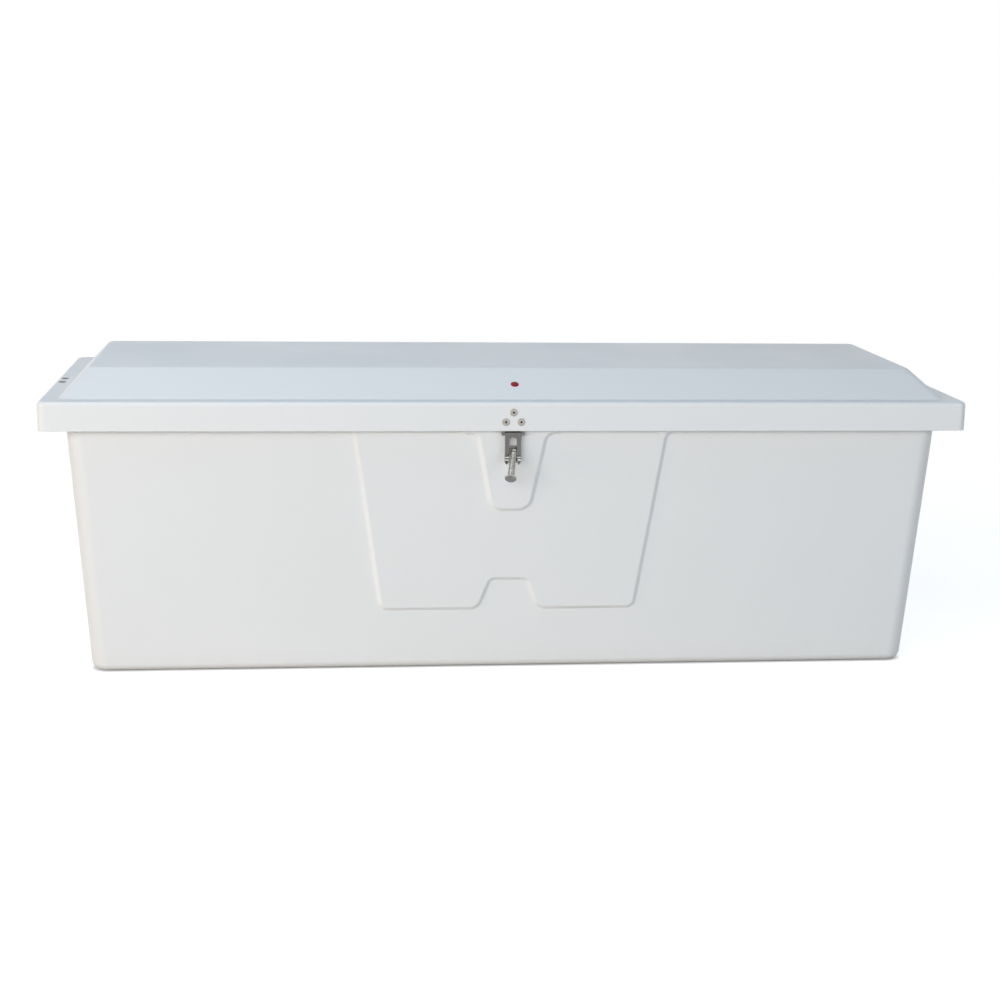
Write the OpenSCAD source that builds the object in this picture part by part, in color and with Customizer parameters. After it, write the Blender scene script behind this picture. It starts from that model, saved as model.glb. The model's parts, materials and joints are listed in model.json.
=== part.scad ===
// Moulded dock box: a tapered tub with a raised front panel, a hip-crowned lid on three butt hinges,
// a hanging hasp with a quarter-turn handle and a gas strut at each end.
// The origin is on the ground under the middle of the tub, X runs along its length and the front is at -Y.

/* [Lid] */
// Length of the lid over its lip
lid_length = 1840; // [1600:10:2000]
// Depth of the lid over its lip, front to back
lid_depth = 660; // [620:10:740]
// Thickness of the lid's laminate
lid_skin = 5; // [4:0.5:7]
// Height of the lip, from its lower edge to the rim's top face
lip_height = 57.5; // [54:0.5:66]
// Corner radius of the lip in plan
lip_corner = 14; // [11:1:24]
// Radius of the edge between the lip and the rim's top face
lip_edge = 8; // [4:1:9]
// Flat rim between the lip and the crown at the two ends
rim_flat_end = 37; // [34:1:48]
// Flat rim between the lip and the crown at the front and back
rim_flat_side = 32; // [26:1:44]
// Height of the crown above the rim
crown_height = 52; // [36:1:64]
// Run of the crown's slope at the two ends
crown_run_end = 49; // [40:1:70]
// Run of the crown's slope at the front and back
crown_run_side = 92; // [56:1:96]
// Corner radius of the crown in plan
crown_corner = 16; // [10:1:28]
// Radius of the crown's upper edge
crown_edge = 12; // [6:1:16]
// Radius of the hollow where the crown rises from the rim
crown_foot = 8; // [4:1:10]
// Thickness of the stiffening panel under the crown
core_thickness = 12; // [6:1:18]
// Bare border around the stiffening panel
core_border = 20; // [10:1:40]

/* [Tub] */
// Height of the tub's rim above the ground
rim_height = 548; // [480:1:600]
// Thickness of the tub's laminate
tub_wall = 5; // [4:0.5:7]
// Lean of the tub's walls, in degrees
wall_draft = 3.7; // [2:0.1:5]
// Distance from the lid's end to the tub's wall at the rim
wall_inset_end = 45; // [34:0.5:50]
// Distance from the lid's front to the tub's wall at the rim
wall_inset_side = 27; // [25:0.5:36]
// Corner radius of the tub's upright edges
tub_corner = 35; // [34:1:60]
// Radius between the walls and the floor
tub_foot = 18; // [15:1:31]
// Gap between the tub's rim and the inside of the lid's lip
rim_gap = 7; // [6.5:0.5:9]
// Depth of the rim's turned-down edge
rim_return = 30; // [26:1:36]
// Radius of the rim's top edges
rim_round = 1.5; // [0.5:0.5:2]
// Width of the seal on the rim
seal_width = 9; // [6:0.5:12]
// Height of the seal on the rim
seal_height = 6; // [6:0.5:9]
// Gap left under the lid when it rests on the seal
seat_gap = 0.3; // [0.2:0.1:0.6]

/* [Front panel] */
// Step of the raised panel, and of the latch pad on it
relief_step = 7; // [4:0.5:9]
// Width of the soft edge around the raised panel
relief_bevel = 8; // [5:0.5:9]
// Height of the panel's lower edge
apron_low = 132; // [90:1:160]
// Half width of the panel at its lower edge
apron_half_low = 255; // [200:1:320]
// Lean of the panel's sides, in degrees
apron_lean = 8.3; // [0:0.1:14]
// Corner radius of the panel
apron_round = 12; // [8:1:24]
// Height of the notch in the panel's lower edge
notch_height = 63; // [40:1:90]
// Half width of the notch at its mouth
notch_half_low = 64; // [52:1:90]
// Half width of the notch at its top
notch_half_high = 40; // [30:1:44]
// Corner radius of the notch
notch_round = 18; // [10:1:18]
// Height of the latch pad's lower edge
pad_low = 341; // [290:1:350]
// Half width of the latch pad at its lower edge
pad_half_low = 35; // [34:1:60]
// Lean of the latch pad's sides, in degrees
pad_lean = 11.1; // [4:0.1:18]
// Corner radius of the latch pad
pad_round = 24; // [10:1:24]
// Radius where the panel and the pad flare out under the lip
flare_round = 22; // [10:1:22]

/* [Hinges] */
// Distance from the lid's end to the middle of its outer hinges
hinge_inset = 295; // [240:5:500]
// Width of a hinge along its pin
hinge_width = 100; // [80:1:140]
// Thickness of the hinge leaves and the hasp
leaf_gauge = 2.5; // [2:0.25:2.75]
// Outer diameter of the knuckles
knuckle_d = 8; // [7:0.5:9]
// Diameter of the hinge pins
pin_d = 4; // [3:0.25:4.5]
// Clearance around a pin in its knuckles
pin_play = 0.05; // [0.03:0.01:0.1]
// Gap between neighbouring knuckles
knuckle_gap = 0.4; // [0.3:0.1:0.8]

/* [Hasp and handle] */
// Width of the hasp's fixed leaf
hasp_width = 46; // [42:1:60]
// Width of the hanging strap
strap_width = 32; // [28:1:36]
// Length of the strap below its pin
strap_length = 63; // [58:1:72]
// Width of the strap's slot
slot_width = 14.5; // [14:0.5:16]
// Distance from the pin to the top of the slot
slot_drop = 7.2; // [6:0.2:12]
// Width of the slot at its open mouth
mouth_width = 22; // [20:0.5:24]
// Distance from the pin to where the slot starts to widen
mouth_drop = 44; // [42:1:46]
// Radius of the rolled ridge near the strap's end
curl_radius = 4.8; // [3.5:0.1:5]
// Distance from the pin to the rolled ridge
curl_drop = 49.5; // [49:0.5:54]
// Distance from the hasp's pin to the handle's spindle
latch_drop = 37; // [35:0.5:37.5]
// Diameter of the handle's spindle
spindle_d = 10; // [8:0.5:11]
// Diameter of the handle's shaft through the slot
shaft_d = 11; // [10.5:0.5:13]
// Length of the handle's locking cam
cam_length = 18; // [17:0.5:19.5]
// Width of the handle's locking cam
cam_width = 8; // [7:0.5:11]
// Length of the handle from its elbow to its head
handle_reach = 62; // [45:1:80]
// Angle of the handle from its spindle, in degrees
handle_bend = 38; // [25:1:60]
// Turn of the handle to one side as it hangs, in degrees
handle_lean = 15; // [0:1:20]
// Diameter of the handle's round head
head_d = 24; // [16:1:30]
// Diameter of the round badge on the crown
badge_d = 18; // [10:1:30]

/* [Struts] */
// Depth of the upper stud below the lid's underside
stud_drop = 20; // [18:1:26]
// Distance of the upper stud in front of the box's middle
stud_front = 40; // [10:0.5:40]
// Angle between the two studs seen from the hinge pin, in degrees
strut_fold = 71; // [66:1:74]
// Opening angle of the lid, in degrees
lid_swing = 85; // [60:1:85]
// Distance from the lower bracket to the strut's middle
strut_stand_off = 14; // [13:0.5:20]
// Outer diameter of the strut's tube
tube_d = 20; // [16:1:22]
// Diameter of the strut's rod
rod_d = 8; // [6:1:10]
// Diameter of the studs at the strut's ends
stud_d = 8; // [6:0.5:10]
// Thickness of the strut's brackets
bracket_gauge = 2.5; // [2:0.25:2.5]

/* [Fasteners] */
// Flange diameter of the large rivets in the lid
rivet_flange = 15.5; // [12:0.5:18]
// Shank diameter of the rivets
rivet_d = 4.8; // [4:0.2:5]
// Length of a set rivet's tail
rivet_tail = 3.5; // [2.5:0.25:3.5]
// Distance between the two lower hasp rivets
rivet_pitch = 30.4; // [26:0.2:36]
// Distance from the lower hasp rivets up to the third one
rivet_rise = 19; // [16:0.5:20]
// Height of the lower hasp rivets above the lip's lower edge
rivet_low = 18.2; // [14:0.2:20]
// Distance between the two rivets of a strut's upper bracket
stay_pitch = 48; // [48:0.2:70]
// Diameter of the hinge screws
screw_d = 5; // [4:0.5:5]
// Distance between neighbouring hinge screws
screw_pitch = 35; // [28:1:38]

/* [Hidden] */
$fn = 48;
corner_steps = 8;
arc_steps = 5;
relief_steps = 6;
round_steps = 4;
hole_play = 0.2;
bite = 0.6;
skirt = 2;
over = 1;
least_corner = 3;

// Heights
lid_under = rim_height + seal_height + seat_gap;
rim_top = lid_under + lid_skin;
lip_bottom = rim_top - lip_height;
crown_top = rim_top + crown_height;
flange_under = rim_height - tub_wall;
return_bottom = rim_height - rim_return;

// Half sizes of the lid, its lip's inside, the tub's rim and its wall at the rim
lid_x = lid_length / 2;
lid_y = lid_depth / 2;
lip_in_x = lid_x - lid_skin;
lip_in_y = lid_y - lid_skin;
rim_x = lip_in_x - rim_gap;
rim_y = lip_in_y - rim_gap;
wall_x = lid_x - wall_inset_end;
wall_y = lid_y - wall_inset_side;
wall_slant = tub_wall / cos(wall_draft);
foot_x = lid_x - rim_flat_end;
foot_y = lid_y - rim_flat_side;
slope_end = atan(crown_height / crown_run_end);
slope_side = atan(crown_height / crown_run_side);
slope_max = max(slope_end, slope_side);

// Half size of the tub's outside at a height, from its half size at the rim
function wall_at(half, z) = half - (rim_height - z) * tan(wall_draft);

// Hinges
hinge_spread = lid_x - hinge_inset;
hinge_xs = [-hinge_spread, 0, hinge_spread];
hinge_y = (rim_y + lip_in_y) / 2;
hinge_clear = 1.7;
hinge_z = lip_bottom - knuckle_d / 2 - hinge_clear;
leaf_gap = 0.3;
leaf_margin = 3;
leaf_low = lip_bottom - leaf_gap;
leaf_top = rim_height - leaf_margin;
knuckle_count = 5;
knuckle_pitch = hinge_width / knuckle_count;
screw_z = (return_bottom + flange_under) / 2;
screw_head_d = 2 * screw_d;
screw_xs = [-screw_pitch, 0, screw_pitch];
nut_height = nut_thick(screw_d);
nut_d = nut_across(screw_d);
screw_tail = 1.5;
cap_nut_height = 3.5;
cap_dome = 0.8;
cap_room = 0.5;
pin_head = 0.8;
pin_head_d = pin_d + 1.5;

// Thickness of a nut, and its width over the corners
function nut_thick(d) = 0.8 * d;
function nut_across(d) = 1.85 * d;

// Hasp and handle
hasp_y = -(lip_in_y - knuckle_d / 2);
hasp_z = lip_bottom - knuckle_d / 2 - hinge_clear;
strap_out = -lip_in_y;
strap_round = 8;
latch_z = hasp_z - latch_drop;
pad_face = wall_at(wall_y, latch_z) + 2 * relief_step;
strap_stand = (lip_in_y - pad_face) / cos(wall_draft);
keeper_gauge = 3;
keeper_width = 30;
keeper_up = 11;
keeper_down = 24;
keeper_round = 4;
keeper_screw_d = 3.5;
keeper_screw_x = 9;
keeper_screw_down = 17;
boss_d = 16;
boss_gap = 2.8;
boss_top = strap_stand - leaf_gauge - boss_gap;
spindle_clear = 0.5;
pad_skin = relief_step + tub_wall;
backing_gauge = 3;
washer_gauge = 1.5;
handle_nut_height = 5.5;
running_gap = 0.3;
cam_gap = 1.2;
cam_stand = strap_stand + cam_gap;
cam_height = 5;
elbow_gap = 10.2;
elbow_stand = strap_stand + elbow_gap;
elbow_radius = 6.2;
handle_neck = 5.5;
handle_thick = 7;
head_height = 5;
badge_height = 1.2;
badge_bevel = 0.8;
badge_x = 9;
badge_share = 0.472;

// Struts: both studs lie at the same distance from the hinge pin
stud_y = -stud_front;
stud_z = lid_under - stud_drop;
stud_radius = norm([stud_y - hinge_y, stud_z - hinge_z]);
stud_angle = atan2(stud_z - hinge_z, stud_y - hinge_y);
low_y = hinge_y + stud_radius * cos(stud_angle + strut_fold);
low_z = hinge_z + stud_radius * sin(stud_angle + strut_fold);
strut_closed = 2 * stud_radius * sin(strut_fold / 2);
strut_open = 2 * stud_radius * sin((strut_fold + lid_swing) / 2);
strut_tilt = atan2(-(low_y - stud_y), low_z - stud_z);
end_wall_x = wall_at(wall_x, low_z) - wall_slant;
strut_x = end_wall_x - strut_stand_off;
eye_d = 2.25 * stud_d;
eye_width = 8;
eye_neck_d = 10;
tube_start = 22;
tube_wall = 1.5;
tube_plug = 6;
rod_bare = 42;
tube_end = strut_closed - rod_bare;
gland_length = 18;
piston_length = 12;
piston_gap = 1;
rod_length = strut_open - (tube_end - gland_length) + piston_length + piston_gap;
rod_start = 20;
slide_play = 0.05;
shoulder_d = stud_d + 5;
clip_d = stud_d + 5;
clip_gauge = 1;
groove_d = stud_d - 2;
stud_tip = 1.2;
stud_shoulder = strut_x + eye_width / 2 + running_gap / 2;
stud_length = eye_width + 1.5 * running_gap;
groove_length = clip_gauge + running_gap / 2;
ear_gauge = 3;
ear_half = 12;
ear_gap = 3;
ear_x = strut_x + eye_width / 2 + ear_gap;
arm_half = 17;
tab_width = 22;
tab_clear = 2;
tab_margin = 16;
tab_half = stay_pitch / 2 + tab_margin;
stay_inset = 15.5;
stay_x = lid_x - stay_inset;
plate_half = 32;
plate_width = 30;
plate_round = 12;
plate_rivet = 22;
plate_flange = 10;

// Seal
seal_x = (wall_x - wall_slant + rim_x) / 2;
seal_y = (wall_y - wall_slant + rim_y) / 2;
seal_corner = tub_corner - tub_wall / 2;
seal_base = seal_height / 2;
seal_bulb = seal_width * 0.6;
seal_end_gap = 3;
seal_break = tab_half + seal_end_gap;

// Points of a rectangle with rounded corners at one height, counter-clockwise seen from above
function ring(half_x, half_y, r, z) = [
    for (q = [0:3], i = [0:corner_steps])
        let (a = 90 * (q + i / corner_steps), sx = (q == 0 || q == 3) ? 1 : -1, sy = q < 2 ? 1 : -1)
        [sx * (half_x - r) + r * cos(a), sy * (half_y - r) + r * sin(a), z]
];

// Closed skin through a list of rings that all have the same number of points
module loft(rings) {
    n = len(rings[0]);
    last = len(rings) - 1;
    sides = [
        for (k = [0:last - 1], i = [0:n - 1])
            let (a = k * n + i, b = k * n + (i + 1) % n)
            each [[a, a + n, b + n], [a, b + n, b]]
    ];
    caps = [[for (i = [0:n - 1]) i], [for (i = [n - 1:-1:0]) last * n + i]];
    polyhedron(points = [for (r = rings) each r], faces = concat(sides, caps), convexity = 8);
}

// Flat rectangle with rounded corners
module rounded_rect(half_x, half_y, r) {
    square([2 * half_x, 2 * (half_y - r)], center = true);
    square([2 * (half_x - r), 2 * half_y], center = true);
    for (sx = [-1, 1], sy = [-1, 1])
        translate([sx * (half_x - r), sy * (half_y - r)]) circle(r);
}

// Tub: rings run up the outside, over the turned rim and down the inside to the floor
foot_radius = min(tub_foot, tub_corner - least_corner);
foot_middle = wall_at(0, foot_radius) - foot_radius / cos(wall_draft);

function foot_arc(r, corner, i) =
    let (a = -90 + (90 - wall_draft) * i / arc_steps, e = foot_middle + r * cos(a))
    ring(wall_x + e, wall_y + e, corner - r * (cos(wall_draft) - cos(a)), foot_radius + r * sin(a));

function rim_ring(inset, z) = ring(rim_x - inset, rim_y - inset, tub_corner - inset, z);

function mouth_ring(grow, z) =
    let (e = grow - wall_slant)
    ring(wall_x + e, wall_y + e, tub_corner + e, z);

function tub_rings() = concat(
    [for (i = [0:arc_steps]) foot_arc(foot_radius, tub_corner, i)],
    [ring(wall_at(wall_x, flange_under), wall_at(wall_y, flange_under), tub_corner, flange_under)],
    [rim_ring(tub_wall, flange_under), rim_ring(tub_wall, return_bottom), rim_ring(0, return_bottom)],
    [for (a = [0:30:90]) rim_ring(rim_round * (1 - cos(a)), rim_height - rim_round * (1 - sin(a)))],
    [for (a = [90:-30:0]) mouth_ring(rim_round * (1 - cos(a)), rim_height - rim_round * (1 - sin(a)))],
    [for (i = [arc_steps:-1:0]) foot_arc(foot_radius - tub_wall, tub_corner - tub_wall, i)]
);

// Outlines on the front wall: corners as [x, z, radius], counter-clockwise seen from the front
relief_top = flange_under + tub_wall / 2 - relief_bevel;
flare_drop = 1;
flare_low = lip_bottom - flare_drop;
flare_width = 45;
pad_flare_drop = 3.5;
pad_flare_low = lip_bottom - pad_flare_drop;
pad_flare_width = 25;
band_round = 4;
void_margin = 25;
void_top = lip_bottom - void_margin;

function apron_half(z) = apron_half_low + (z - apron_low) * tan(apron_lean);
function pad_half(z) = pad_half_low + (z - pad_low) * tan(pad_lean);

apron_foot = [
    [-apron_half_low, apron_low, apron_round],
    [-notch_half_low, apron_low, notch_round],
    [-notch_half_high, apron_low + notch_height, notch_round],
    [notch_half_high, apron_low + notch_height, notch_round],
    [notch_half_low, apron_low, notch_round],
    [apron_half_low, apron_low, apron_round]
];
pad_foot = [[-pad_half_low, pad_low, pad_round], [pad_half_low, pad_low, pad_round]];

// Band that a panel flares into under the lip
function flare(half, width, low, top) = [
    [half, low, flare_round], [half + width, low, band_round], [half + width, top, band_round],
    [-half - width, top, band_round], [-half - width, low, band_round], [-half, low, flare_round]
];

apron_outline = concat(apron_foot, flare(apron_half(flare_low), flare_width, flare_low, relief_top));
pad_outline = concat(pad_foot,
    flare(pad_half(pad_flare_low), pad_flare_width, pad_flare_low, relief_top - relief_bevel));
void_outline = concat(apron_foot,
    [[apron_half(void_top), void_top, apron_round], [-apron_half(void_top), void_top, apron_round]]);

function unit(v) = v / norm(v);
function flat(c) = [c[0], c[1]];
function cross_z(a, b) = a[0] * b[1] - a[1] * b[0];
function edge_normal(p, q) = let (d = unit(q - p)) [d[1], -d[0]];

// Outline moved outwards by d, with its round corners kept round
function grown(outline, d) = let (n = len(outline)) [
    for (i = [0:n - 1])
        let (
            p = flat(outline[i]),
            a = edge_normal(flat(outline[(i + n - 1) % n]), p),
            b = edge_normal(p, flat(outline[(i + 1) % n])),
            q = p + d * (a + b) / (1 + a * b)
        )
        [q[0], q[1], max(outline[i][2] + sign(cross_z(a, b)) * d, 1)]
];

// Points of an outline with each corner as an arc
function rounded(outline) = let (n = len(outline)) [
    for (i = [0:n - 1], k = [0:round_steps])
        let (
            p = flat(outline[i]),
            r = outline[i][2],
            u = unit(p - flat(outline[(i + n - 1) % n])),
            v = unit(flat(outline[(i + 1) % n]) - p),
            side = sign(cross_z(u, v)),
            turn = acos(u * v),
            c = p - u * r * tan(turn / 2) + side * r * [-u[1], u[0]],
            a = atan2(-side * u[0], side * u[1]) + side * turn * k / round_steps
        )
        c + r * [cos(a), sin(a)]
];

function relief_ring(outline, grow, h) = [
    for (p = rounded(grown(outline, grow))) [p[0], -wall_at(wall_y, p[1]) - h, p[1]]
];

// Raised field on the front wall, with a soft S-shaped edge from the level low to the level high
module relief(outline, low, high) {
    rise = high - low + bite;
    edge = [
        for (i = [0:relief_steps])
            let (s = i / relief_steps)
            relief_ring(outline, relief_bevel * (1 - s), low - bite + rise * (1 - cos(180 * s)) / 2)
    ];
    loft(concat([relief_ring(outline, relief_bevel, low - skirt)], edge));
}

// Places on the object: the latch pad, the crown's front slope, the end wall's inside and a strut's line
module on_pad() translate([0, -pad_face, latch_z]) rotate([90 + wall_draft, 0, 0]) children();

module on_crown_front(x, share)
    translate([x, -(foot_y - share * crown_run_side), rim_top + share * crown_height])
        rotate([slope_side, 0, 0]) children();

module on_end_wall() translate([end_wall_x, low_y, low_z]) rotate([0, wall_draft - 90, 0]) children();

module on_strut() translate([strut_x, stud_y, stud_z]) rotate([strut_tilt, 0, 0]) children();

module on_side(side) mirror([side < 0 ? 1 : 0, 0, 0]) children();

module at_keeper_screws()
    for (sx = [-1, 1]) translate([sx * keeper_screw_x, -keeper_screw_down, 0]) children();

module at_hasp_rivets() {
    low = lip_bottom + rivet_low;
    for (p = [[0, low + rivet_rise], [-rivet_pitch / 2, low], [rivet_pitch / 2, low]])
        translate([p[0], -lid_y, p[1]]) rotate([90, 0, 0]) children();
}

module at_stay_rivets()
    for (sx = [-1, 1], sy = [-1, 1])
        translate([sx * stay_x, stud_y + sy * stay_pitch / 2, rim_top]) children();

module at_plate_rivets() for (s = [-1, 1]) translate([s * plate_rivet, 0, 0]) children();

// Rear screws: the head's face is at the origin and the shank runs along -Z
module at_tub_screws()
    for (hx = hinge_xs, sx = screw_xs)
        translate([hx + sx, rim_y + leaf_gauge, screw_z]) rotate([-90, 0, 0]) children();

module at_lid_screws()
    for (hx = hinge_xs, sx = screw_xs)
        translate([hx + sx, lip_in_y - leaf_gauge, screw_z]) rotate([90, 0, 0]) children();

// Fasteners
module countersunk_screw(d, head, length) {
    sink = (head - d) / 2;
    translate([0, 0, -sink]) cylinder(h = sink, d1 = d, d2 = head);
    translate([0, 0, -length]) cylinder(h = length - sink / 2, d = d);
}

module countersunk_hole(d, head, length) {
    sink = (head - d) / 2;
    translate([0, 0, -sink])
        cylinder(h = sink + hole_play, d1 = d + 2 * hole_play, d2 = head + 4 * hole_play);
    translate([0, 0, -length]) cylinder(h = length, d = d + 2 * hole_play);
}

module hex_nut(width, height, bore) difference() {
    cylinder(h = height, d = width, $fn = 6);
    translate([0, 0, -over]) cylinder(h = height + 2 * over, d = bore);
}

// Set blind rivet: the flange sits on the origin's plane and the tail lies behind the grip
module blind_rivet(flange, grip) {
    bore = rivet_d * 0.31;
    bulb = rivet_d * 0.75;
    rotate_extrude() polygon([
        [bore, -grip - rivet_tail], [bulb * 0.7, -grip - rivet_tail], [bulb, -grip - rivet_tail * 0.6],
        [bulb, -grip - rivet_tail * 0.3], [bulb * 0.85, -grip], [rivet_d / 2, -grip], [rivet_d / 2, 0],
        [flange / 2, 0], [flange / 2, 0.6], [flange * 0.42, 1.3], [flange * 0.25, 1.8], [bore + 0.4, 1.9],
        [bore, 1.5]
    ]);
}

module rivet_hole(depth) translate([0, 0, -depth]) cylinder(h = 2 * depth, d = rivet_d + hole_play);

// Tub and what is fixed to it
// The shell and its raised fields are one moulded skin, so they are taken as one mesh before it is drilled
module tub() color("white") difference() {
    resize([0, 0, 0]) {
        loft(tub_rings());
        relief(apron_outline, 0, relief_step);
        relief(pad_outline, relief_step, 2 * relief_step);
    }
    relief(grown(void_outline, -tub_wall), -tub_wall, relief_step - tub_wall);
    on_pad() {
        translate([0, 0, -2 * pad_skin]) cylinder(h = 3 * pad_skin, d = spindle_d + 2 * spindle_clear);
        at_keeper_screws() translate([0, 0, -2 * pad_skin])
            cylinder(h = 3 * pad_skin, d = keeper_screw_d + 2 * hole_play);
    }
    at_tub_screws() translate([0, 0, -3 * tub_wall])
        cylinder(h = 4 * tub_wall, d = screw_d + 2 * hole_play);
    for (side = [-1, 1]) on_side(side) on_end_wall() at_plate_rivets() rivet_hole(2 * tub_wall);
}

module lid_seal() color("dimgray") difference() {
    translate([0, 0, rim_height]) {
        linear_extrude(seal_base) seal_band(seal_width);
        translate([0, 0, seal_base]) linear_extrude(seal_height - seal_base) seal_band(seal_bulb);
    }
    for (side = [-1, 1])
        translate([side * seal_x - seal_width, stud_y - seal_break, rim_height - over])
            cube([2 * seal_width, 2 * seal_break, seal_height + 2 * over]);
}

module seal_band(width) difference() {
    rounded_rect(seal_x + width / 2, seal_y + width / 2, seal_corner + width / 2);
    rounded_rect(seal_x - width / 2, seal_y - width / 2, seal_corner - width / 2);
}

module keeper_plate() color("silver") on_pad() difference() {
    union() {
        translate([0, (keeper_up - keeper_down) / 2, 0])
            linear_extrude(keeper_gauge)
                rounded_rect(keeper_width / 2, (keeper_up + keeper_down) / 2, keeper_round);
        cylinder(h = boss_top, d = boss_d);
    }
    translate([0, 0, -over]) cylinder(h = boss_top + 2 * over, d = spindle_d + 2 * pin_play);
    at_keeper_screws() translate([0, 0, keeper_gauge])
        countersunk_hole(keeper_screw_d, 2 * keeper_screw_d, 2 * keeper_gauge);
}

module keeper_screws() color("silver") on_pad() at_keeper_screws() translate([0, 0, keeper_gauge])
    countersunk_screw(keeper_screw_d, 2 * keeper_screw_d,
        keeper_gauge + pad_skin + backing_gauge + nut_thick(keeper_screw_d) + screw_tail);

module keeper_backing() color("silver") on_pad() translate([0, 0, -pad_skin - backing_gauge]) difference() {
    translate([0, (keeper_up - keeper_down) / 2, 0])
        linear_extrude(backing_gauge)
            rounded_rect(keeper_width / 2, (keeper_up + keeper_down) / 2, keeper_round);
    translate([0, 0, -over]) cylinder(h = backing_gauge + 2 * over, d = spindle_d + 2 * spindle_clear);
    at_keeper_screws() translate([0, 0, -over])
        cylinder(h = backing_gauge + 2 * over, d = keeper_screw_d + 2 * hole_play);
}

module keeper_nuts() color("silver") on_pad() at_keeper_screws()
    translate([0, 0, -pad_skin - backing_gauge - nut_thick(keeper_screw_d)])
        hex_nut(nut_across(keeper_screw_d), nut_thick(keeper_screw_d), keeper_screw_d + hole_play);

// Butt hinge: odd knuckles belong to the tub's leaf and even ones to the lid's
module knuckles(first) for (i = [first:2:knuckle_count - 1])
    translate([-hinge_width / 2 + i * knuckle_pitch + knuckle_gap / 2, 0, 0])
        rotate([0, 90, 0]) cylinder(h = knuckle_pitch - knuckle_gap, d = knuckle_d);

module knuckle_straps(first, y) for (i = [first:2:knuckle_count - 1])
    translate([-hinge_width / 2 + i * knuckle_pitch + knuckle_gap / 2, y, 0])
        cube([knuckle_pitch - knuckle_gap, leaf_gauge, leaf_low - hinge_z + over]);

module hinge_leaf(x, first, y) translate([x, hinge_y, hinge_z]) difference() {
    union() {
        knuckles(first);
        knuckle_straps(first, y - hinge_y);
        translate([-hinge_width / 2, y - hinge_y, leaf_low - hinge_z])
            cube([hinge_width, leaf_gauge, leaf_top - leaf_low]);
    }
    translate([-hinge_width, 0, 0])
        rotate([0, 90, 0]) cylinder(h = 2 * hinge_width, d = pin_d + 2 * pin_play);
}

module hinge_tub_leaf(x) color("silver") difference() {
    hinge_leaf(x, 0, rim_y);
    at_tub_screws() countersunk_hole(screw_d, screw_head_d, 2 * leaf_gauge);
}

module hinge_lid_leaf(x) color("silver") difference() {
    hinge_leaf(x, 1, lip_in_y - leaf_gauge);
    at_lid_screws() countersunk_hole(screw_d, screw_head_d, 2 * leaf_gauge);
}

module hinge_pin(x) color("gainsboro") translate([x, hinge_y, hinge_z]) rotate([0, 90, 0]) {
    cylinder(h = hinge_width, d = pin_d, center = true);
    for (s = [-1, 1])
        translate([0, 0, s * (hinge_width + pin_head) / 2])
            cylinder(h = pin_head, d = pin_head_d, center = true);
}

module hinge_tub_screws() color("silver") at_tub_screws()
    countersunk_screw(screw_d, screw_head_d, leaf_gauge + tub_wall + nut_height + screw_tail);

module hinge_tub_nuts() color("silver") at_tub_screws()
    translate([0, 0, -leaf_gauge - tub_wall - nut_height]) hex_nut(nut_d, nut_height, screw_d + hole_play);

module hinge_lid_screws() color("silver") at_lid_screws()
    countersunk_screw(screw_d, screw_head_d, leaf_gauge + lid_skin + cap_nut_height);

// Cap nut: a hexagon with a domed end over the screw's tip
module cap_nut() difference() {
    union() {
        translate([0, 0, -cap_nut_height]) cylinder(h = cap_nut_height, d = nut_d, $fn = 6);
        translate([0, 0, -cap_nut_height]) sphere(d = cap_dome * nut_d);
    }
    translate([0, 0, -cap_nut_height - cap_room]) cylinder(h = nut_d, d = screw_d + hole_play);
    cylinder(h = nut_d, d = 2 * nut_d);
}

module hinge_lid_nuts() color("silver") at_lid_screws()
    translate([0, 0, -leaf_gauge - lid_skin]) cap_nut();

// Lid: rings run from the crown's underside, round the lip and up to the crown's top
function crown_at(foot, run, slope, z) =
    let (up = z - rim_top, e = crown_edge, f = crown_foot)
    up <= f * (1 - cos(slope)) ? foot + f * tan(slope / 2) - sqrt(max(f * f - (f - up) * (f - up), 0)) :
    up <= crown_height - e * (1 - cos(slope)) ? foot - up / tan(slope) :
    foot - run - e * tan(slope / 2) + sqrt(max(e * e - (up - crown_height + e) * (up - crown_height + e), 0));

function crown_ring(z) = ring(
    crown_at(foot_x, crown_run_end, slope_end, z), crown_at(foot_y, crown_run_side, slope_side, z),
    crown_corner, z);

function under_crown(run_x, run_y, z) = ring(
    foot_x - run_x - lid_skin * tan(slope_end / 2), foot_y - run_y - lid_skin * tan(slope_side / 2),
    max(crown_corner - lid_skin, least_corner), z);

function lip_ring(inset, z) = ring(lid_x - inset, lid_y - inset, lip_corner - inset, z);

function lid_rings() = concat(
    [under_crown(crown_run_end, crown_run_side, crown_top - lid_skin), under_crown(0, 0, lid_under)],
    [lip_ring(lid_skin, lid_under), lip_ring(lid_skin, lip_bottom), lip_ring(0, lip_bottom)],
    [
        for (i = [0:arc_steps])
            let (a = 90 * i / arc_steps)
            lip_ring(lip_edge * (1 - cos(a)), rim_top - lip_edge * (1 - sin(a)))
    ],
    [for (i = [0:3]) crown_ring(rim_top + crown_foot * (1 - cos(slope_max * i / 3)))],
    [for (i = [arc_steps:-1:0]) crown_ring(crown_top - crown_edge * (1 - cos(slope_max * i / arc_steps)))]
);

module lid() color("white") difference() {
    loft(lid_rings());
    at_hasp_rivets() rivet_hole(2 * lid_skin);
    at_stay_rivets() rivet_hole(2 * lid_skin);
    at_lid_screws() translate([0, 0, -4 * lid_skin])
        cylinder(h = 4 * lid_skin, d = screw_d + 2 * hole_play);
}

module lid_core() color("wheat") translate([0, 0, crown_top - lid_skin - core_thickness])
    linear_extrude(core_thickness) rounded_rect(
        foot_x - crown_run_end - lid_skin - core_border,
        foot_y - crown_run_side - lid_skin - core_border, crown_corner);

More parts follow.
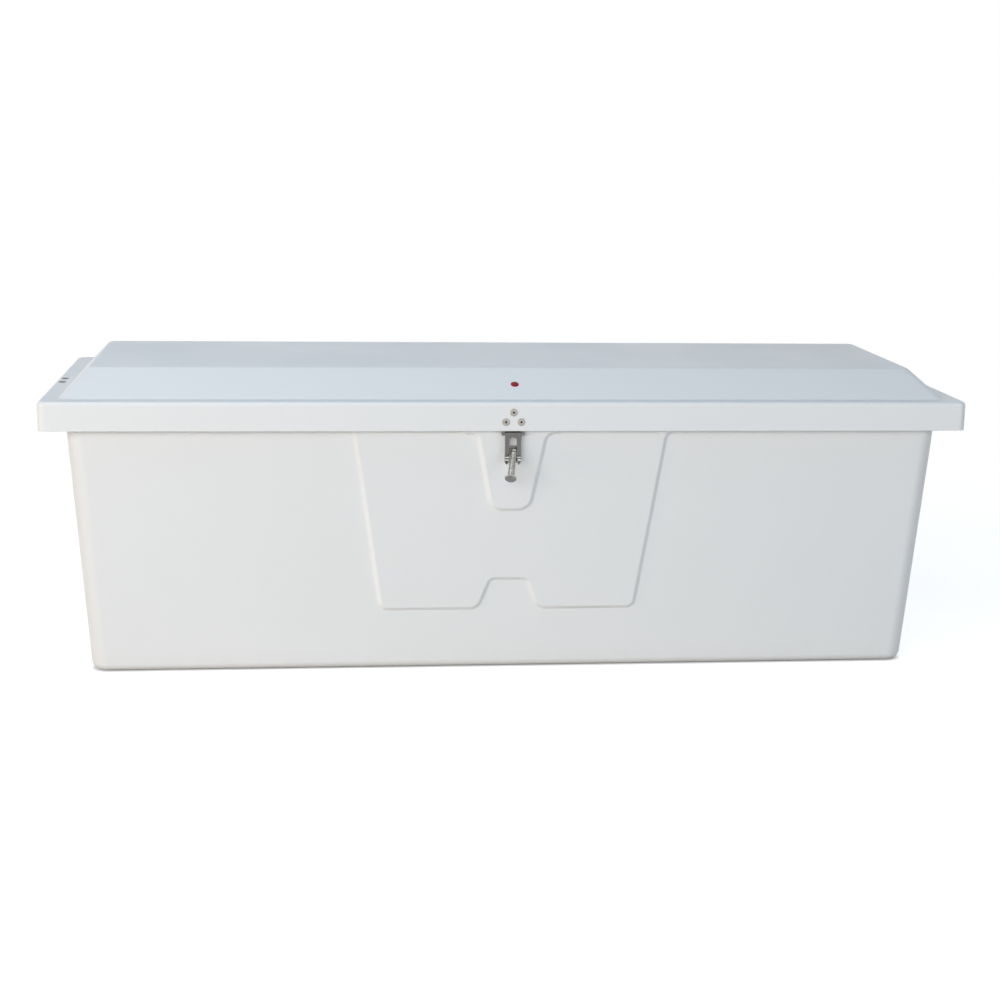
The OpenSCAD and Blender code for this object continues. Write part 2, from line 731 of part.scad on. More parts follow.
module badge() color("firebrick") on_crown_front(badge_x, badge_share) rotate_extrude() polygon([
    [0, 0], [badge_d / 2, 0], [badge_d / 2, badge_height / 2], [badge_d / 2 - badge_bevel, badge_height],
    [0, badge_height]
]);

// Hasp: the leaf is riveted inside the lip and the strap hangs from its pin
module hasp_knuckle(from, to) translate([from, hasp_y, hasp_z])
    rotate([0, 90, 0]) cylinder(h = to - from, d = knuckle_d);

module hasp_bore() translate([-hasp_width, hasp_y, hasp_z]) rotate([0, 90, 0])
    cylinder(h = 2 * hasp_width, d = pin_d + 2 * pin_play);

module hasp_leaf() color("silver") difference() {
    inner = strap_width / 2 + knuckle_gap;
    side = hasp_width / 2 - inner;
    union() {
        translate([-hasp_width / 2, strap_out, leaf_low])
            cube([hasp_width, leaf_gauge, leaf_top - leaf_low]);
        for (x = [-hasp_width / 2, inner]) {
            hasp_knuckle(x, x + side);
            translate([x, strap_out, hasp_z]) cube([side, leaf_gauge, leaf_low - hasp_z + over]);
        }
    }
    hasp_bore();
    at_hasp_rivets() rivet_hole(2 * (lid_skin + leaf_gauge));
}

module hasp_rivets() color("silver") at_hasp_rivets() blind_rivet(rivet_flange, lid_skin + leaf_gauge);

module hasp_pin() color("gainsboro") translate([0, hasp_y, hasp_z]) rotate([0, 90, 0])
    cylinder(h = hasp_width, d = pin_d, center = true);

// Strap below its pin, seen from the front
module strap_plate() {
    translate([-strap_width / 2, strap_round - strap_length])
        square([strap_width, strap_length - strap_round]);
    translate([strap_round - strap_width / 2, -strap_length])
        square([strap_width - 2 * strap_round, 2 * strap_round]);
    for (s = [-1, 1])
        translate([s * (strap_width / 2 - strap_round), strap_round - strap_length]) circle(strap_round);
}

// Slot of the strap: round at the top, and open at the tip through a mouth that widens
module strap_slot() {
    slot_top = -slot_drop - slot_width / 2;
    mouth_end = -strap_length - over;
    translate([0, slot_top]) circle(d = slot_width);
    polygon([
        [-slot_width / 2, slot_top], [-slot_width / 2, -mouth_drop], [-mouth_width / 2, mouth_end],
        [mouth_width / 2, mouth_end], [slot_width / 2, -mouth_drop], [slot_width / 2, slot_top]
    ]);
}

module hasp_strap() color("silver") difference() {
    back = strap_out + leaf_gauge;
    union() {
        translate([0, back, hasp_z]) rotate([90, 0, 0]) linear_extrude(leaf_gauge) strap_plate();
        hasp_knuckle(-strap_width / 2, strap_width / 2);
        translate([-strap_width / 2, back - curl_radius, hasp_z - curl_drop])
            rotate([0, 90, 0]) cylinder(h = strap_width, r = curl_radius);
    }
    hasp_bore();
    translate([-strap_width, back - curl_radius, hasp_z - curl_drop])
        rotate([0, 90, 0]) cylinder(h = 2 * strap_width, r = curl_radius - leaf_gauge);
    translate([0, back + over, hasp_z])
        rotate([90, 0, 0]) linear_extrude(2 * curl_radius + 2 * over) strap_slot();
}

// Quarter-turn handle: a spindle through the pad, a cam in front of the strap and a bent, tapered grip
module turn_handle() color("silver") on_pad() rotate([0, 0, -handle_lean]) {
    tail = pad_skin + backing_gauge + washer_gauge + handle_nut_height + running_gap + screw_tail;
    translate([0, 0, -tail]) cylinder(h = tail + boss_top + over, d = spindle_d);
    translate([0, 0, boss_top + running_gap])
        cylinder(h = elbow_stand - boss_top - running_gap, d = shaft_d);
    translate([0, 0, cam_stand]) linear_extrude(cam_height) {
        square([cam_width, cam_length - cam_width], center = true);
        for (s = [-1, 1]) translate([0, s * (cam_length - cam_width) / 2]) circle(d = cam_width);
    }
    translate([0, 0, elbow_stand]) {
        sphere(r = elbow_radius);
        rotate([handle_bend, 0, 0]) {
            cylinder(h = handle_reach, r1 = handle_neck, r2 = handle_thick);
            translate([0, 0, handle_reach]) handle_head();
        }
    }
}

module handle_head() rotate_extrude() polygon([
    [0, -head_height / 2], [head_d * 0.4, -head_height / 2], [head_d * 0.48, -head_height / 4],
    [head_d / 2, 0], [head_d * 0.48, head_height / 4], [head_d * 0.4, head_height / 2], [0, head_height * 0.6]
]);

module handle_washer() color("gainsboro") on_pad()
    translate([0, 0, -pad_skin - backing_gauge - running_gap - washer_gauge]) difference() {
        cylinder(h = washer_gauge, d = 2 * spindle_d);
        translate([0, 0, -over]) cylinder(h = washer_gauge + 2 * over, d = spindle_d + hole_play);
    }

module handle_nut() color("silver") on_pad()
    translate([0, 0, -pad_skin - backing_gauge - running_gap - washer_gauge - handle_nut_height])
        hex_nut(nut_across(spindle_d), handle_nut_height, spindle_d + hole_play);

// Struts, drawn at the right-hand end
module stay_rivets() color("silver") at_stay_rivets() blind_rivet(rivet_flange, lid_skin + bracket_gauge);

// Stud along -X from its shoulder, with a groove for the clip behind the eye
module stud(reach) rotate([0, -90, 0]) {
    translate([0, 0, -reach]) cylinder(h = reach, d = shoulder_d);
    cylinder(h = stud_length, d = stud_d);
    cylinder(h = stud_length + groove_length + stud_tip, d = groove_d);
    translate([0, 0, stud_length + groove_length]) cylinder(h = stud_tip, d = stud_d);
}

module stud_clip(y, z)
    translate([stud_shoulder - stud_length - running_gap / 4, y, z]) rotate([0, -90, 0]) difference() {
        cylinder(h = clip_gauge, d = clip_d);
        translate([0, 0, -over]) cylinder(h = clip_gauge + 2 * over, d = groove_d + hole_play);
    }

module lid_bracket() color("silver") difference() {
    top = lid_under;
    union() {
        translate([lip_in_x - tab_clear - tab_width, stud_y - tab_half, top - bracket_gauge])
            cube([tab_width, 2 * tab_half, bracket_gauge]);
        translate([ear_x, stud_y - arm_half, top - bracket_gauge])
            cube([lip_in_x - tab_clear - over - ear_x, 2 * arm_half, bracket_gauge]);
        translate([ear_x, stud_y - ear_half, stud_z]) cube([ear_gauge, 2 * ear_half, top - stud_z]);
        translate([ear_x, stud_y, stud_z]) rotate([0, 90, 0]) cylinder(h = ear_gauge, r = ear_half);
        translate([stud_shoulder, stud_y, stud_z]) stud(ear_x + ear_gauge / 2 - stud_shoulder);
    }
    at_stay_rivets() rivet_hole(2 * lid_skin + 2 * bracket_gauge);
}

module tub_bracket() color("silver") {
    difference() {
        on_end_wall() linear_extrude(bracket_gauge) rounded_rect(plate_half, plate_width / 2, plate_round);
        on_end_wall() at_plate_rivets() rivet_hole(2 * bracket_gauge);
    }
    translate([stud_shoulder, low_y, low_z]) stud(end_wall_x - bracket_gauge / 2 - stud_shoulder);
}

module strut_tube() color("dimgray") on_strut() difference() {
    translate([0, 0, tube_start]) cylinder(h = tube_end - tube_start, d = tube_d);
    translate([0, 0, tube_start + tube_plug]) cylinder(h = tube_end - tube_start, d = tube_d - 2 * tube_wall);
}

// Eye on a stud with a neck towards +Z
module strut_eye(neck) difference() {
    union() {
        rotate([0, 90, 0]) cylinder(h = eye_width, d = eye_d, center = true);
        intersection() {
            cylinder(h = neck, d = eye_neck_d);
            translate([-eye_width / 2, -eye_neck_d, 0]) cube([eye_width, 2 * eye_neck_d, neck]);
        }
    }
    rotate([0, 90, 0]) cylinder(h = 2 * eye_width, d = stud_d + 2 * pin_play, center = true);
}

module tube_eye() color("dimgray") on_strut() strut_eye(tube_start);

module rod_eye() color("dimgray") on_strut()
    translate([0, 0, strut_closed]) rotate([180, 0, 0]) strut_eye(rod_start);

module gland() color("black") on_strut() translate([0, 0, tube_end - gland_length]) difference() {
    cylinder(h = gland_length, d = tube_d - 2 * tube_wall - 2 * slide_play);
    translate([0, 0, -over]) cylinder(h = gland_length + 2 * over, d = rod_d + 2 * slide_play);
}

module rod() color("lightgray") on_strut() translate([0, 0, strut_closed - rod_length])
    cylinder(h = rod_length - rod_start, d = rod_d);

module piston() color("black") on_strut() translate([0, 0, strut_closed - rod_length]) difference() {
    cylinder(h = piston_length, d = tube_d - 2 * tube_wall - 4 * slide_play);
    translate([0, 0, -over]) cylinder(h = piston_length + 2 * over, d = rod_d + hole_play);
}

module strut_lid_clips() color("silver") for (side = [-1, 1]) on_side(side) stud_clip(stud_y, stud_z);

module strut_tub_clips() color("silver") for (side = [-1, 1]) on_side(side) stud_clip(low_y, low_z);

module strut_tub_rivets() color("silver") for (side = [-1, 1]) on_side(side) on_end_wall() at_plate_rivets()
    translate([0, 0, -tub_wall]) rotate([180, 0, 0]) blind_rivet(plate_flange, tub_wall + bracket_gauge);

tub();
lid_seal();
keeper_plate();
keeper_screws();
keeper_backing();
keeper_nuts();
hinge_tub_leaf(-hinge_spread);  // hinge_left_tub_leaf
hinge_lid_leaf(-hinge_spread);  // hinge_left_lid_leaf
hinge_pin(-hinge_spread);  // hinge_left_pin
hinge_tub_leaf(0);  // hinge_mid_tub_leaf
hinge_lid_leaf(0);  // hinge_mid_lid_leaf
hinge_pin(0);  // hinge_mid_pin
hinge_tub_leaf(hinge_spread);  // hinge_right_tub_leaf
hinge_lid_leaf(hinge_spread);  // hinge_right_lid_leaf
hinge_pin(hinge_spread);  // hinge_right_pin
hinge_tub_screws();
hinge_tub_nuts();
hinge_lid_screws();
hinge_lid_nuts();
lid();
lid_core();
badge();
hasp_leaf();
hasp_rivets();
hasp_pin();
hasp_strap();
turn_handle();
handle_washer();
handle_nut();
stay_rivets();
on_side(-1) lid_bracket();  // strut_left_lid_bracket
on_side(-1) tub_bracket();  // strut_left_tub_bracket
on_side(-1) strut_tube();  // strut_left_tube
on_side(-1) tube_eye();  // strut_left_tube_eye
on_side(-1) gland();  // strut_left_gland
on_side(-1) rod();  // strut_left_rod
on_side(-1) piston();  // strut_left_piston
on_side(-1) rod_eye();  // strut_left_rod_eye
on_side(1) lid_bracket();  // strut_right_lid_bracket
on_side(1) tub_bracket();  // strut_right_tub_bracket
on_side(1) strut_tube();  // strut_right_tube
on_side(1) tube_eye();  // strut_right_tube_eye
on_side(1) gland();  // strut_right_gland
on_side(1) rod();  // strut_right_rod
on_side(1) piston();  // strut_right_piston
on_side(1) rod_eye();  // strut_right_rod_eye
strut_lid_clips();
strut_tub_clips();
strut_tub_rivets();
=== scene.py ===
# %% [markdown]
# # Dressing a moulded dock box
# The frame that is loaded here holds every piece of the box at its real size: the tub, the lid, the hinges, the
# struts and the latch. This lesson remodels the big mouldings by hand, smooths the hardware, gives each piece its
# finish and lights it plainly. Lengths are in metres, X runs along the box, the front is at -Y and Z is up.

# %% Load the frame
import json
import math

import bmesh
import bpy
from mathutils import Matrix, Vector


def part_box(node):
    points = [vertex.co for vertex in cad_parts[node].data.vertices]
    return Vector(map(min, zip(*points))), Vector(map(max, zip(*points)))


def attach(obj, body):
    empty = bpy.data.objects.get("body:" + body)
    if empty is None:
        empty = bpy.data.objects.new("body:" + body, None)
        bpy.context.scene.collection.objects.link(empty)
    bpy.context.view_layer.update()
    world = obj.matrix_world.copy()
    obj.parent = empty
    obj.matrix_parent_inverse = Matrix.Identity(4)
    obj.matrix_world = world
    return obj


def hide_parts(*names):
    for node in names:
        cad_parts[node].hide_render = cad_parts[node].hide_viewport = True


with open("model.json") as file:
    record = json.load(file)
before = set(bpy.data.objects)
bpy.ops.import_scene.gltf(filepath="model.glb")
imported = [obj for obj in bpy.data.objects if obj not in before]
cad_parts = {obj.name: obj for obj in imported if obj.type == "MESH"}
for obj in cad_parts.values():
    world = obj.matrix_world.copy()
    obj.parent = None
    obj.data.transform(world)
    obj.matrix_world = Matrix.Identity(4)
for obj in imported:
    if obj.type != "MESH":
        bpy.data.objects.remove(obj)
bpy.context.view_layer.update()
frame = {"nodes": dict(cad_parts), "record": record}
bpy.ops.object.select_all(action="DESELECT")
scene = bpy.context.scene
scene.view_settings.view_transform = "Standard"

# %% [markdown]
# ## The camera
# The viewpoint was worked out from the straight edges of the box: a little left of its middle, above its lid and
# about four metres away. The three turns are written as a person would turn a tripod head: first to the side, then
# down, then a slight roll.

# %% Camera
camera_place = Vector((-0.396385, -3.843217, 1.112595))
camera_yaw = math.radians(6.0402)
camera_pitch = math.radians(11.9715)
camera_roll = math.radians(0.9702)
camera_lens = 65.558
camera_sensor = 36.0

camera = bpy.data.objects.new("camera", bpy.data.cameras.new("camera"))
scene.collection.objects.link(camera)
camera.data.lens = camera_lens
camera.data.sensor_width = camera_sensor
camera.matrix_world = (
    Matrix.Translation(camera_place)
    @ Matrix.Rotation(-camera_yaw, 4, "Z")
    @ Matrix.Rotation(math.radians(90) - camera_pitch, 4, "X")
    @ Matrix.Rotation(camera_roll, 4, "Z")
)
scene.camera = camera
print("camera at", tuple(round(v, 3) for v in camera_place))

# %% [markdown]
# ## Small helpers for working as by hand
# In the viewport a modeller clicks on an edge or a face. A script picks it by its place or its direction instead, so
# these helpers walk through the mesh in edit mode and select what passes a test. Everything else is done by the
# same operators that the menus call.

# %% Helpers
def only(*objects):
    """Select these objects alone, with the first one active."""
    bpy.ops.object.select_all(action="DESELECT")
    for obj in objects:
        obj.select_set(True)
    bpy.context.view_layer.objects.active = objects[0]


def edit(obj):
    """Open a piece in edit mode."""
    only(obj)
    bpy.ops.object.mode_set(mode="EDIT")


def done():
    """Leave edit mode and return the piece."""
    bpy.ops.object.mode_set(mode="OBJECT")
    return bpy.context.object


def pick(kind, test):
    """Select the vertices, edges or faces of the open piece that pass a test, and return how many did."""
    bpy.ops.mesh.select_mode(type=kind)
    bpy.ops.mesh.select_all(action="DESELECT")
    mesh = bmesh.from_edit_mesh(bpy.context.edit_object.data)
    chosen = [e for e in {"VERT": mesh.verts, "EDGE": mesh.edges, "FACE": mesh.faces}[kind] if test(e)]
    for element in chosen:
        element.select_set(True)
    mesh.select_flush_mode()
    bmesh.update_edit_mesh(bpy.context.edit_object.data)
    return len(chosen)


def middle(element):
    """Middle of a vertex, edge or face."""
    if isinstance(element, bmesh.types.BMVert):
        return element.co
    return sum((v.co for v in element.verts), Vector()) / len(element.verts)


def at_height(z, slack=1e-4):
    """A test for what lies level at one height."""
    return lambda e: all(abs(v.co.z - z) < slack for v in e.verts)


def is_open(edge):
    """True for an edge on the border of a sheet."""
    return len(edge.link_faces) == 1


def extrude(move):
    """Pull the selection out and move it."""
    bpy.ops.mesh.extrude_region_move(TRANSFORM_OT_translate={"value": move})


def widen(half_from, half_to, z):
    """Scale the selection in plan from one half size to another, about the box's middle."""
    ratio = (half_to[0] / half_from[0], half_to[1] / half_from[1], 1)
    bpy.ops.transform.resize(value=ratio, center_override=(0, 0, z))


def modifier(obj, kind, **settings):
    """Add a modifier, set it and apply it."""
    only(obj)
    added = obj.modifiers.new(kind.title(), kind)
    for key, value in settings.items():
        setattr(added, key, value)
    bpy.ops.object.modifier_apply(modifier=added.name)


def start_box(name, low, high):
    """Add a cube that fills a box, with its place in its mesh."""
    low, high = Vector(low), Vector(high)
    bpy.ops.mesh.primitive_cube_add(size=1, location=(low + high) / 2, scale=high - low)
    obj = bpy.context.object
    obj.name = name
    bpy.ops.object.transform_apply()
    return obj


def pulled_line(name, points):
    """Start a piece as one vertex that is pulled from point to point, and leave it open in edit mode."""
    bpy.ops.mesh.primitive_plane_add(size=0.01, enter_editmode=True)
    obj = bpy.context.object
    obj.name = name
    bpy.ops.mesh.select_mode(type="VERT")
    bpy.ops.mesh.select_all(action="SELECT")
    bpy.ops.mesh.merge(type="CENTER")
    bpy.ops.transform.translate(value=points[0])
    for a, b in zip(points, points[1:]):
        bpy.ops.mesh.extrude_vertices_move(TRANSFORM_OT_translate={"value": b - a})
    bpy.ops.mesh.select_all(action="SELECT")
    return obj


def triangles(obj):
    """Number of triangles in a piece."""
    obj.data.calc_loop_triangles()
    return len(obj.data.loop_triangles)


print("helpers ready")

# %% [markdown]
# ## Finishes
# A finish is made before the pieces, so that each piece can be given one as it is built. What several finishes share,
# such as slow drifts of tone or a brushed grain, is a node group that hands out plain values. All patterns follow
# object coordinates, so they stay on the piece when the lid opens.

# %% Node helpers
def add(tree, kind, sockets=(), **settings):
    """Add a node, set its choices, and give each named socket a value or a link."""
    node = tree.nodes.new(kind)
    for key, value in settings.items():
        setattr(node, key, value)
    for key, value in dict(sockets).items():
        if isinstance(value, bpy.types.NodeSocket):
            tree.links.new(value, node.inputs[key])
        else:
            node.inputs[key].default_value = value
    return node


def value_group(name, inputs, output):
    """Node group with number inputs and one number output: its tree, its inputs and its output socket."""
    tree = bpy.data.node_groups.new(name, "ShaderNodeTree")
    for label, value in inputs.items():
        kind = "NodeSocketVector" if isinstance(value, tuple) else "NodeSocketFloat"
        tree.interface.new_socket(label, in_out="INPUT", socket_type=kind).default_value = value
    tree.interface.new_socket(output, in_out="OUTPUT", socket_type="NodeSocketFloat")
    return tree, tree.nodes.new("NodeGroupInput").outputs, tree.nodes.new("NodeGroupOutput").inputs[0]


def object_place(tree):
    """Coordinates that stay with the piece."""
    return add(tree, "ShaderNodeTexCoord").outputs["Object"]


def use(tree, group, **values):
    """Put a node group to use and return its output."""
    node = add(tree, "ShaderNodeGroup", node_tree=group)
    for label, value in values.items():
        node.inputs[label].default_value = value
    return node.outputs[0]


print("node helpers ready")

# %% Shared effects
drift, given, result = value_group("drift", {"Scale": 3.0, "Detail": 3.0, "Low": 0.0, "High": 1.0}, "Value")
noise = add(drift, "ShaderNodeTexNoise", {
    "Vector": object_place(drift), "Scale": given["Scale"], "Detail": given["Detail"], "Roughness": 0.6})
spread = add(drift, "ShaderNodeMapRange", {
    "Value": noise.outputs[0], "From Min": 0.3, "From Max": 0.7, "To Min": given["Low"], "To Max": given["High"]})
drift.links.new(spread.outputs[0], result)

grain, given, result = value_group("grain", {"Stretch": (4.0, 600.0, 600.0), "Low": 0.0, "High": 1.0}, "Value")
long_place = add(grain, "ShaderNodeVectorMath", {0: object_place(grain), 1: given["Stretch"]}, operation="MULTIPLY")
noise = add(grain, "ShaderNodeTexNoise", {
    "Vector": long_place.outputs[0], "Scale": 1.0, "Detail": 3.0, "Roughness": 0.55})
spread = add(grain, "ShaderNodeMapRange", {
    "Value": noise.outputs[0], "From Min": 0.3, "From Max": 0.7, "To Min": given["Low"], "To Max": given["High"]})
grain.links.new(spread.outputs[0], result)

moulded, given, result = value_group("moulded", {"Wave": 1.0, "Peel": 0.05}, "Height")
wave = add(moulded, "ShaderNodeTexNoise", {"Vector": object_place(moulded), "Scale": 4.5, "Detail": 1.0})
peel = add(moulded, "ShaderNodeTexNoise", {"Vector": object_place(moulded), "Scale": 420.0, "Detail": 2.0})
tall = add(moulded, "ShaderNodeMath", {0: wave.outputs[0], 1: given["Wave"]}, operation="MULTIPLY")
both = add(moulded, "ShaderNodeMath", {
    0: peel.outputs[0], 1: given["Peel"], 2: tall.outputs[0]}, operation="MULTIPLY_ADD")
moulded.links.new(both.outputs[0], result)

ground, given, result = value_group("ground", {"Height": 0.16, "Most": 1.0}, "Mask")
up = add(ground, "ShaderNodeSeparateXYZ", {0: object_place(ground)})
near = add(ground, "ShaderNodeMapRange", {
    "Value": up.outputs["Z"], "From Min": given["Height"], "From Max": 0.0, "To Min": 0.0, "To Max": given["Most"]},
    interpolation_type="SMOOTHSTEP")
streaks = use(ground, grain, Stretch=(38.0, 38.0, 5.0), Low=0.35, High=1.0)
patchy = add(ground, "ShaderNodeMath", {0: near.outputs[0], 1: streaks}, operation="MULTIPLY")
ground.links.new(patchy.outputs[0], result)

strands, given, result = value_group("strands", {"Scale": 1.0}, "Height")
layers = []
for turn in (0.3, 1.35, 2.4):
    turned_place = add(strands, "ShaderNodeMapping", {
        "Vector": object_place(strands), "Rotation": (turn * 0.7, turn * 0.4, turn)})
    sized = add(strands, "ShaderNodeVectorMath", {
        0: turned_place.outputs[0], "Scale": given["Scale"]}, operation="SCALE")
    long_place = add(strands, "ShaderNodeVectorMath", {
        0: sized.outputs[0], 1: (22.0, 420.0, 420.0)}, operation="MULTIPLY")
    layer = add(strands, "ShaderNodeTexNoise", {"Vector": long_place.outputs[0], "Scale": 1.0, "Detail": 2.0})
    layers.append(layer.outputs[0])
top = layers[0]
for layer in layers[1:]:
    top = add(strands, "ShaderNodeMath", {0: top, 1: layer}, operation="MAXIMUM").outputs[0]
strands.links.new(top, result)
print("shared effects:", ", ".join(g.name for g in (drift, grain, moulded, ground, strands)))


# %% Finish helper
def finish(name, pale, dark, share, rough, relief=None, lift=0.0, **constants):
    """Material that moves between two colours by a share, with its roughness and relief from groups.

    share, rough and relief are a group and its inputs; lift is the relief's height in metres.
    """
    made = bpy.data.materials.new(name)
    made.use_nodes = True
    tree = made.node_tree
    skin = tree.nodes["Principled BSDF"]
    for label, value in constants.items():
        skin.inputs[label.replace("_", " ")].default_value = value
    tone = add(tree, "ShaderNodeMix", {
        0: use(tree, share[0], **share[1]), 6: (*pale, 1), 7: (*dark, 1)}, data_type="RGBA")
    tree.links.new(tone.outputs[2], skin.inputs["Base Color"])
    tree.links.new(use(tree, rough[0], **rough[1]), skin.inputs["Roughness"])
    if relief:
        height = use(tree, relief[0], **relief[1])
        bump = add(tree, "ShaderNodeBump", {"Height": height, "Distance": lift, "Strength": 1.0})
        tree.links.new(bump.outputs[0], skin.inputs["Normal"])
    return made


def give(piece, *materials):
    """Give a piece its materials, in place of any it has."""
    piece.data.materials.clear()
    for material in materials:
        piece.data.materials.append(material)
    return piece


print("finish helper ready")

# %% Finishes of the box
gelcoat = finish(
    "white_gelcoat", (0.87, 0.875, 0.88), (0.70, 0.69, 0.66),
    share=(ground, {"Height": 0.06, "Most": 0.16}),
    rough=(drift, {"Scale": 5.0, "Detail": 4.0, "Low": 0.32, "High": 0.44}),
    relief=(moulded, {"Wave": 1.0, "Peel": 0.02}), lift=0.0012)
flow_coat = finish(
    "flow_coat", (0.82, 0.82, 0.80), (0.68, 0.67, 0.63),
    share=(drift, {"Scale": 7.0, "Detail": 5.0, "Low": 0.0, "High": 0.6}),
    rough=(drift, {"Scale": 30.0, "Detail": 3.0, "Low": 0.45, "High": 0.62}),
    relief=(strands, {"Scale": 1.0}), lift=0.0007)
# Stainless painted far darker than its own colour: a painted dark reflection of a dark surround.
steel = finish(
    "polished_stainless_painted_dark", (0.21, 0.207, 0.202), (0.145, 0.143, 0.14),
    share=(grain, {"Stretch": (700.0, 30.0, 12.0)}),
    rough=(drift, {"Scale": 60.0, "Detail": 3.0, "Low": 0.12, "High": 0.22}),
    relief=(grain, {"Stretch": (900.0, 60.0, 14.0)}), lift=0.00002, Metallic=1.0)
# The handle's stainless is painted brighter than the other steel: a painted highlight.
handle_highlight_steel = finish(
    "handle_painted_highlight_stainless", (0.46, 0.435, 0.40), (0.30, 0.285, 0.265),
    share=(drift, {"Scale": 130.0, "Detail": 3.0}),
    rough=(drift, {"Scale": 90.0, "Detail": 3.0, "Low": 0.14, "High": 0.26}),
    relief=(drift, {"Scale": 260.0, "Detail": 2.0}), lift=0.00004, Metallic=1.0)
# Stainless painted almost white, for the strap's rolled ends: a painted highlight.
painted_highlight_steel = finish(
    "painted_highlight_stainless", (0.72, 0.715, 0.70), (0.60, 0.595, 0.58),
    share=(grain, {"Stretch": (30.0, 700.0, 700.0)}),
    rough=(drift, {"Scale": 80.0, "Detail": 3.0, "Low": 0.10, "High": 0.20}),
    relief=(grain, {"Stretch": (40.0, 900.0, 900.0)}), lift=0.00001, Metallic=1.0)
sheet_steel = finish(
    "sheet_stainless", (0.36, 0.355, 0.35), (0.28, 0.276, 0.27),
    share=(grain, {"Stretch": (12.0, 60.0, 900.0)}),
    rough=(drift, {"Scale": 40.0, "Detail": 3.0, "Low": 0.24, "High": 0.38}),
    relief=(grain, {"Stretch": (10.0, 60.0, 1100.0)}), lift=0.00002, Metallic=1.0)
rivet_metal = finish(
    "rivet_alloy", (0.47, 0.435, 0.39), (0.34, 0.315, 0.285),
    share=(drift, {"Scale": 160.0, "Detail": 4.0}),
    rough=(drift, {"Scale": 220.0, "Detail": 3.0, "Low": 0.38, "High": 0.55}),
    relief=(drift, {"Scale": 500.0, "Detail": 2.0}), lift=0.00005, Metallic=0.75)
# Painted near black: painted shade for the hole that the rivet's mandrel sits in.
mandrel_painted_shade = finish(
    "rivet_mandrel_painted_shade", (0.012, 0.011, 0.010), (0.006, 0.006, 0.006),
    share=(drift, {"Scale": 300.0, "Detail": 3.0}),
    rough=(drift, {"Scale": 300.0, "Detail": 3.0, "Low": 0.75, "High": 0.95}), Specular_IOR_Level=0.1)
rubber = finish(
    "black_rubber", (0.030, 0.030, 0.031), (0.018, 0.018, 0.018),
    share=(drift, {"Scale": 40.0, "Detail": 4.0}),
    rough=(drift, {"Scale": 90.0, "Detail": 3.0, "Low": 0.6, "High": 0.8}),
    relief=(drift, {"Scale": 900.0, "Detail": 2.0}), lift=0.00012)
plywood = finish(
    "sealed_plywood", (0.62, 0.46, 0.28), (0.40, 0.265, 0.145),
    share=(grain, {"Stretch": (1.6, 46.0, 46.0)}),
    rough=(grain, {"Stretch": (3.0, 90.0, 90.0), "Low": 0.38, "High": 0.56}),
    relief=(grain, {"Stretch": (5.0, 300.0, 300.0)}), lift=0.0002, Coat_Weight=0.3, Coat_Roughness=0.25)
enamel = finish(
    "badge_enamel", (0.34, 0.004, 0.018), (0.24, 0.003, 0.012),
    share=(drift, {"Scale": 180.0, "Detail": 2.0}),
    rough=(drift, {"Scale": 120.0, "Detail": 2.0, "Low": 0.22, "High": 0.34}), Specular_IOR_Level=0.25)
black_paint = finish(
    "black_paint", (0.014, 0.014, 0.015), (0.045, 0.045, 0.045),
    share=(grain, {"Stretch": (500.0, 20.0, 20.0), "Low": -0.6, "High": 0.7}),
    rough=(drift, {"Scale": 50.0, "Detail": 4.0, "Low": 0.25, "High": 0.42}),
    relief=(drift, {"Scale": 600.0, "Detail": 2.0}), lift=0.00005, Coat_Weight=0.3, Coat_Roughness=0.2)
chrome = finish(
    "hard_chrome", (0.74, 0.74, 0.75), (0.66, 0.66, 0.67),
    share=(grain, {"Stretch": (600.0, 16.0, 16.0)}),
    rough=(grain, {"Stretch": (800.0, 20.0, 20.0), "Low": 0.06, "High": 0.16}), Metallic=1.0)
nylon = finish(
    "black_nylon", (0.030, 0.030, 0.032), (0.018, 0.018, 0.019),
    share=(drift, {"Scale": 80.0, "Detail": 3.0}),
    rough=(drift, {"Scale": 200.0, "Detail": 3.0, "Low": 0.42, "High": 0.6}),
    relief=(drift, {"Scale": 1200.0, "Detail": 2.0}), lift=0.00006)
print("finishes:", ", ".join(sorted(m.name for m in bpy.data.materials if m.use_nodes)))

# %% [markdown]
# ## The lid
# The real lid is one skin laid up in a mould: a flat rim, a lip that hangs over the tub and a crown with four sloping
# sides. It could be cut from a block, but a sheet is closer to the moulding: start with the crown's foot, pull the
# crown up, pull the rim out and the lip down, round every turn with the bevel tool and thicken the sheet inwards.

# %% Lid sizes
lid_low, lid_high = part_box("lid")
lid_half = (lid_high.x, lid_high.y)
lid_skin = 0.005
lip_height = 0.0575
lip_corner = 0.014
lip_edge = 0.008
rim_flat = (0.037, 0.032)
crown_height = 0.052
crown_run = (0.049, 0.092)
crown_edge = 0.0043
crown_foot = 0.003
lid_trim = 0.0009
rim_top = lid_high.z - crown_height
lip_bottom = rim_top - lip_height
foot_half = (lid_half[0] - rim_flat[0], lid_half[1] - rim_flat[1])
top_half = (foot_half[0] - crown_run[0], foot_half[1] - crown_run[1])
print("lid rim at", round(rim_top, 4), "lip down to", round(lip_bottom, 4))

# %% Lid sheet
bpy.ops.mesh.primitive_plane_add(size=2, location=(0, 0, rim_top))
lid = bpy.context.object
lid.name = "lid_moulding"
lid.scale = (foot_half[0], foot_half[1], 1)
bpy.ops.object.transform_apply()

edit(lid)
bpy.ops.mesh.select_all(action="SELECT")
extrude((0, 0, crown_height))
widen(foot_half, top_half, lid_high.z)
pick("FACE", at_height(rim_top))
bpy.ops.mesh.delete(type="ONLY_FACE")
pick("EDGE", at_height(rim_top))
extrude((0, 0, 0))
widen(foot_half, lid_half, rim_top)
extrude((0, 0, -lip_height))


